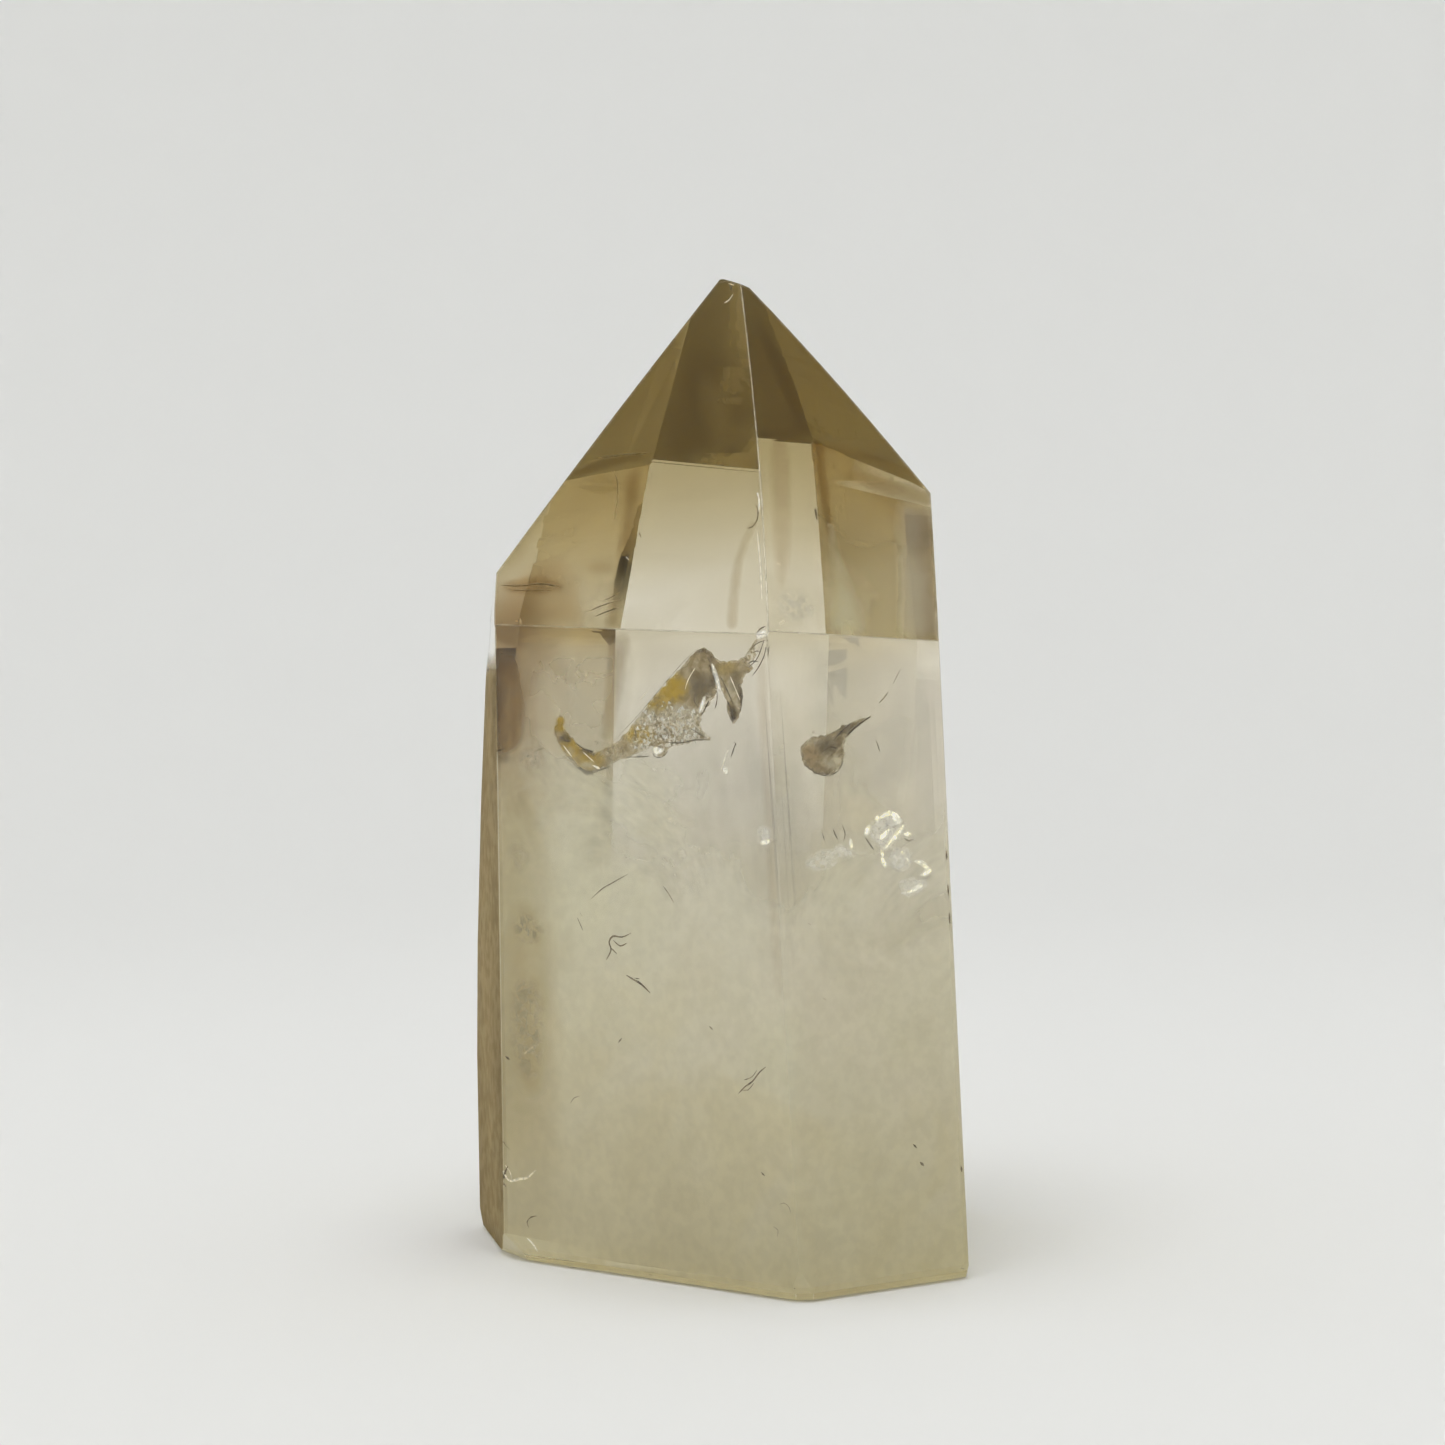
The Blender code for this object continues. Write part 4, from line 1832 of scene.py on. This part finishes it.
@dataclass
class Glints(Sealed):
    """Open slivers of cracks behind the right front face, with a painted flash of pale yellow and white."""

    shallow: float = 0.4  # share of the drawn depth at which they lie, before the milk
    sliver_seed: int = 31  # of the first yellow sliver
    film_seed: int = 131  # of the first white film
    # Each pale yellow sliver's name, depth in millimetres and outline; its flash is painted
    yellow: tuple[tuple[str, float, Outline], ...] = (
        ("glint_crest", 0.9, ((878, 819), (883, 813), (890, 810), (898, 814), (903, 822), (899, 825),
         (894, 822), (891, 816), (885, 818))),
        ("glint_blade", 0.9, ((883, 849), (889, 840), (896, 831), (904, 824), (903, 831), (896, 840),
         (888, 848))),
        ("glint_inner", 1.0, ((878, 838), (884, 831), (890, 828), (888, 834), (882, 840))),
        ("glint_left", 0.9, ((864, 832), (867, 826), (871, 825), (870, 832), (866, 837))),
        ("glint_dot", 0.9, ((874, 819), (877, 815), (880, 818), (878, 822))),
        ("glint_tail", 0.9, ((881, 856), (884, 858), (887, 864), (885, 868), (881, 862))),
        ("glint_wing", 0.8, ((914, 861), (922, 860), (929, 866), (932, 871), (926, 876), (920, 875),
         (925, 870), (920, 865))),
        ("glint_edge", 0.8, ((903, 834), (908, 831), (912, 835), (907, 837))),
        ("glint_low", 0.8, ((901, 893), (911, 889), (920, 883), (923, 887), (914, 892), (906, 894))),
        ("glint_speck", 0.8, ((901, 851), (905, 852), (904, 855), (901, 854))),
        ("glint_chip", 0.8, ((905, 857), (909, 859), (910, 864), (907, 862))),
        ("glint_thread", 0.9, ((881, 849), (884, 853), (883, 858), (880, 853))),
        ("glint_heart", 0.35, ((759, 844), (762, 840), (768, 839), (769, 843), (765, 845))),
        ("glint_side", 0.9, ((850, 838), (853, 842), (852, 850), (849, 845))),
    )
    # Each white or pearly film's name, depth in millimetres and outline; its sheen is painted
    white: tuple[tuple[str, float, Outline], ...] = (
        ("glint_pearl", 0.4, ((755, 831), (759, 825), (766, 824), (772, 829), (773, 838), (769, 846),
         (762, 847), (757, 840))),
        ("glint_lens", 1.3, ((867, 828), (873, 818), (882, 812), (893, 810), (903, 818), (906, 828),
         (899, 840), (888, 850), (877, 848), (869, 840))),
        ("glint_ring", 1.2, ((889, 852), (898, 846), (910, 848), (914, 858), (910, 868), (900, 873),
         (890, 868), (886, 860))),
        ("glint_mist", 1.2, ((832, 848), (842, 843), (852, 848), (858, 856), (850, 860), (838, 858))),
        ("glint_haze", 1.3, ((806, 858), (822, 848), (838, 852), (836, 866), (818, 872), (806, 868))),
        ("glint_smoke", 1.3, ((898, 882), (912, 876), (928, 880), (924, 892), (906, 898))),
    )
    # The dark hollows between the slivers
    hollows: tuple[Hair, ...] = (
        Hair(((886, 827), (888, 823), (891, 821)), 0.3, 0.8),
        Hair(((865, 837), (869, 843), (874, 850)), 0.18, 0.9),
        Hair(((833, 829), (835, 834), (838, 840)), 0.14, 0.9), Hair(((831, 841), (834, 844)), 0.16, 0.9),
        Hair(((904, 838), (909, 841), (914, 839)), 0.16, 0.8),
        Hair(((918, 877), (925, 879), (932, 875)), 0.16, 0.7),
        Hair(((842, 824), (845, 834), (843, 842)), 0.09, 0.9),
        Hair(((893, 828), (899, 824), (905, 823)), 0.16, 0.8),
        Hair(((891, 851), (889, 860), (893, 868), (902, 872)), 0.12, 0.9),
        Hair(((850, 860), (842, 863)), 0.16, 0.9), Hair(((876, 740), (880, 752)), 0.1, 1.2),
        Hair(((822, 832), (825, 842)), 0.09, 1.2),
    )

    def build(self) -> None:
        """Makes the slivers, the films between them and their dark hollows."""
        yellow = Flash("yellow_flash", (0.95, 0.91, 0.64), (1.0, 0.985, 0.86), 0.45, 0.45, 1.0)
        white = Flash("white_flash", (0.90, 0.89, 0.82), (0.99, 0.965, 0.86), 0.22, 0.05, 0.42, 2600.0)
        sliver = {"step": 2.0, "crumple": 0.05 * MM, "fade": 1.0}
        film = {"step": 2.5, "crumple": 0.02 * MM, "fade": 6.0, "rim": 0.0}
        for rows, first, sizes, flash in (
            (self.yellow, self.sliver_seed, sliver, yellow.material()),
            (self.white, self.film_seed, film, white.material()),
        ):
            for seed, (name, depth, outline) in enumerate(rows, first):
                glint = Crack.level(name, outline, depth * self.shallow, seed=seed, **sizes)
                self.add_crack(glint, flash, Slot.FLASH)
        self.add_hairs("glint_hollows", self.hollows, Fleck())


@dataclass
class SmallCracks(Sealed):
    """Short dark cracks, hairs and grains in the milk and above it."""

    slimmer: float = 0.9  # share of the drawn width that the dark ones have
    haze_seed: int = 120  # of the first haze
    haze_least: float = 0.7  # cover of a haze's thinnest patches, as a share of its cover
    haze_scale: float = 260.0
    veil_seed: int = 90  # of the first veil
    veil_scale: float = 1100.0
    # The dark hairlines, and dark grains as very short ones
    dark: tuple[Hair, ...] = (
        Hair(((631, 933), (622, 937), (613, 936), (609, 942), (611, 950), (606, 960)), 0.24),
        Hair(((613, 940), (620, 946), (627, 943)), 0.18), Hair(((611, 948), (617, 954)), 0.16),
        Hair(((626, 975), (634, 980), (641, 984), (650, 993)), 0.26), Hair(((634, 978), (640, 979)), 0.16),
        Hair(((738, 1094), (746, 1086), (752, 1082), (760, 1072), (766, 1067)), 0.2),
        Hair(((744, 1080), (752, 1077), (757, 1070)), 0.14),
        Hair(((741, 1090), (748, 1090), (754, 1083)), 0.12),
        Hair(((590, 900), (602, 889), (614, 882), (628, 874)), 0.12),
        Hair(((663, 886), (668, 893), (674, 903)), 0.14),
        Hair(((779, 1205), (784, 1203), (789, 1207), (791, 1214)), 0.12),
        Hair(((772, 1226), (778, 1230), (777, 1238)), 0.1),
        Hair(((537, 1216), (531, 1217), (527, 1222), (529, 1228)), 0.18),
        Hair(((747, 528), (752, 527), (757, 520), (758, 510), (755, 504)), 0.2),
        Hair(((759, 486), (761, 488)), 0.3), Hair(((651, 473), (652, 476)), 0.3),
        Hair(((639, 531), (641, 538)), 0.22), Hair(((815, 508), (817, 520)), 0.32),
        Hair(((879, 703), (884, 698), (888, 692)), 0.16), Hair(((893, 684), (901, 668)), 0.08),
        Hair(((588, 612), (598, 607), (610, 603), (620, 600)), 0.14),
        Hair(((596, 616), (606, 612), (617, 608)), 0.2), Hair(((604, 600), (612, 597), (620, 592)), 0.12),
        Hair(((500, 585), (520, 586), (540, 584), (560, 587)), 0.16),
        Hair(((510, 590), (530, 591), (552, 590)), 0.1), Hair(((487, 747), (496, 751), (506, 748)), 0.26),
        Hair(((532, 753), (540, 749), (547, 748)), 0.14),
        Hair(((508, 1166), (502, 1180), (506, 1187)), 0.3), Hair(((580, 913), (582, 916)), 0.24),
        Hair(((577, 917), (580, 924), (583, 931)), 0.1), Hair(((823, 998), (826, 1000)), 0.24),
        Hair(((808, 923), (811, 925)), 0.22), Hair(((920, 1162), (924, 1166)), 0.34),
        Hair(((913, 1144), (917, 1148)), 0.22), Hair(((761, 1172), (765, 1176)), 0.24),
        Hair(((570, 1104), (574, 1098), (580, 1096)), 0.12), Hair(((618, 1043), (622, 1038)), 0.18),
        Hair(((709, 1026), (713, 1030)), 0.22), Hair(((505, 1056), (510, 1060)), 0.3),
        Hair(((480, 1113), (494, 1132), (510, 1150)), 0.1), Hair(((794, 1288), (796, 1289)), 0.34),
        Hair(((649, 1280), (652, 1280)), 0.34), Hair(((961, 1268), (964, 1269)), 0.3),
        Hair(((947, 850), (949, 860)), 0.24), Hair(((948, 884), (950, 896)), 0.24),
        Hair(((949, 912), (951, 924)), 0.2), Hair(((961, 1166), (963, 1172)), 0.26),
        Hair(((730, 285), (732, 290)), 0.3), Hair(((737, 283), (740, 284)), 0.26),
        Hair(((614, 470), (618, 490), (614, 520)), 0.08), Hair(((598, 458), (624, 455), (649, 453)), 0.1),
    )
    # Pale scratches and bruises, and painted glints along the edges, the base's bevel and the tip
    pale: tuple[Hair, ...] = (
        Hair(((499, 1160), (503, 1172), (510, 1181), (519, 1179), (527, 1178), (536, 1170)), 0.3, 0.4),
        Hair(((505, 1165), (510, 1172), (512, 1180)), 0.18, 0.4),
        Hair(((523, 1055), (529, 1050), (536, 1045)), 0.16, 0.4),
        Hair(((505, 799), (516, 792), (528, 786), (540, 780)), 0.12, 0.5),
        Hair(((508, 790), (520, 782)), 0.1, 0.5), Hair(((481, 776), (481, 780)), 0.34, 0.35),
        Hair(((482, 815), (482, 819)), 0.34, 0.35), Hair(((481, 880), (481, 884)), 0.3, 0.35),
        Hair(((515, 621), (518, 621)), 0.3, 0.4), Hair(((520, 618), (521, 625)), 0.36, 0.4),
        Hair(((626, 557), (629, 560)), 0.34, 0.4), Hair(((777, 563), (781, 565)), 0.36, 0.4),
        Hair(((787, 593), (790, 595)), 0.26, 0.4), Hair(((729, 282), (735, 284)), 0.16, 0.4),
        Hair(((733, 294), (729, 300), (724, 303)), 0.2, 0.4),
        Hair(((721, 771), (725, 758), (728, 750)), 0.14, 0.9),
        Hair(((516, 1075), (528, 1064), (534, 1050)), 0.1, 0.5),
        Hair(((481, 1138), (492, 1150), (500, 1168)), 0.1, 0.4),
        Hair(((484, 1205), (492, 1222), (503, 1240)), 0.22, 0.4),
        Hair(((481, 1222), (490, 1236), (502, 1247)), 0.14, 0.4),
        Hair(((527, 1238), (533, 1244), (538, 1252)), 0.26, 0.4), Hair(((583, 752), (594, 762)), 0.14, 0.7),
        Hair(((563, 745), (572, 757)), 0.16, 0.7), Hair(((648, 690), (640, 700)), 0.08, 0.8),
        Hair(((695, 668), (688, 680), (685, 690)), 0.1, 0.8),
        Hair(((730, 676), (735, 688), (740, 700)), 0.12, 0.8), Hair(((592, 765), (600, 769)), 0.24, 0.7),
        Hair(((757, 492), (759, 500), (759, 512)), 0.24, 0.5),
        Hair(((757, 530), (760, 560), (762, 600)), 0.14, 0.5),
    )
    # Faint speckled veils: each one's name, colour, cover and outline
    veils: tuple[tuple[str, Colour, float, Outline], ...] = (
        ("veil_speckled", (0.5, 0.44, 0.28), 0.24, ((512, 985), (524, 978), (538, 984), (546, 1010),
         (545, 1050), (538, 1078), (524, 1082), (512, 1060), (508, 1020))),
        ("veil_dark", (0.46, 0.4, 0.25), 0.3, ((513, 918), (524, 912), (538, 918), (546, 932), (536, 944),
         (520, 942), (512, 932))),
        ("veil_brown", (0.6, 0.5, 0.33), 0.2, ((508, 846), (520, 842), (530, 850), (529, 864), (518, 874),
         (508, 866))),
        ("veil_tea", (0.66, 0.55, 0.4), 0.35, ((520, 750), (534, 747), (546, 756), (542, 768), (526, 770),
         (518, 762))),
        ("veil_lichen", (0.66, 0.65, 0.5), 0.07, ((560, 660), (575, 655), (582, 668), (580, 705),
         (568, 712), (560, 690))),
        ("veil_roof", (0.66, 0.64, 0.54), 0.2, ((776, 596), (792, 588), (812, 596), (814, 616), (796, 624),
         (780, 616))),
    )
    # Smooth hazes and painted films: each one's name, colour, cover, depth in millimetres, soft border and
    # outline
    hazes: tuple[tuple[str, Colour, float, float, float, Outline], ...] = (
        ("haze_left", (0.82, 0.75, 0.58), 0.36, 2.7, 24, ((515, 640), (560, 636), (600, 636), (632, 640),
         (634, 690), (622, 745), (590, 790), (550, 800), (512, 790), (508, 720))),
        # painted shade: a brown film over a grey view that the left face mirrors
        ("haze_block", (0.66, 0.54, 0.34), 0.78, 0.4, 9, ((494, 652), (508, 648), (520, 654), (527, 690),
         (526, 735), (516, 752), (498, 754), (490, 700))),
        # painted light: a pale yellow film for a bright streak that the roof bends into view
        ("haze_streak", (1.0, 0.96, 0.72), 0.28, 0.4, 11, ((826, 516), (836, 530), (844, 560), (856, 590),
         (866, 630), (830, 630), (832, 590), (829, 555))),
        # painted shade: a warm film over a grey strip that the roof bends into view
        ("haze_margin", (0.8, 0.72, 0.54), 0.34, 0.4, 16, ((893, 508), (912, 500), (934, 506), (939, 560),
         (940, 634), (900, 634), (896, 580))),
        ("haze_right", (0.9, 0.87, 0.74), 0.22, 2.7, 24, ((806, 642), (850, 644), (900, 648), (925, 660),
         (925, 760), (890, 800), (840, 800), (812, 780), (800, 700))),
    )

    def build(self) -> None:
        """Makes the hairlines, the painted sparkles, the faint veils, the hazes and the painted films."""
        dark = [replace(hair, width=hair.width * self.slimmer) for hair in self.dark]
        self.add_hairs("small_cracks", dark, Fleck("brown_hairs", (0.13, 0.10, 0.06), (0.34, 0.28, 0.18)))
        for seed, (name, colour, cover, depth, border, outline) in enumerate(self.hazes, self.haze_seed):
            least = cover * self.haze_least
            # mist: the real hazes, and the films of painted shade and light above
            mist = Flash(name, colour, colour, 0.0, least, cover, self.haze_scale).material()
            sizes = {"step": 5.0, "crumple": 0.0, "fade": border, "rim": 0.0}
            self.add_crack(Crack.level(name, outline, depth, seed=seed, **sizes), mist, Slot.MILK)
        # the sparkles are painted glints: a pale colour with a glow
        sizes = {"glow": 0.30, "least": 0.6, "cover": 1.0, "marked": False}
        sparkle = Flash("sparkle", (0.90, 0.87, 0.74), (1.0, 0.98, 0.90), **sizes)
        self.add_hairs("sparkles", self.pale, sparkle, Slot.FLASH)
        for seed, (name, colour, cover, outline) in enumerate(self.veils, self.veil_seed):
            second = tuple(0.5 + part / 2 for part in colour)
            dust = Flash(name, colour, second, 0.0, 0.0, cover, self.veil_scale).material()
            sizes = {"step": 4.0, "crumple": 0.02 * MM, "fade": 9.0, "rim": 0.0}
            self.add_crack(Crack.level(name, outline, SHALLOW, seed=seed, **sizes), dust, Slot.FLECK)


def main() -> None:
    """Builds the studio, the stone and everything in it, in order."""
    logging.basicConfig(level=logging.INFO, format="%(message)s")
    sight = Sight()
    sight.set_up()
    LightPaths().set_up()
    Studio().build()
    stone = Stone(next(iter(frame["nodes"])))
    skin = stone.skin(sight)
    for part in (
        stone,
        Clouding(stone),
        Sheets(stone),
        PaintedShadeZones(skin),
        EdgeWearAndSheen(stone),
        MainFracture(skin),
        SecondFracture(skin),
        Glints(skin),
        SmallCracks(skin),
    ):
        part.build()
        log.info("%s is built", type(part).__name__)
    log.info("finished")


if __name__ == "__main__":
    main()
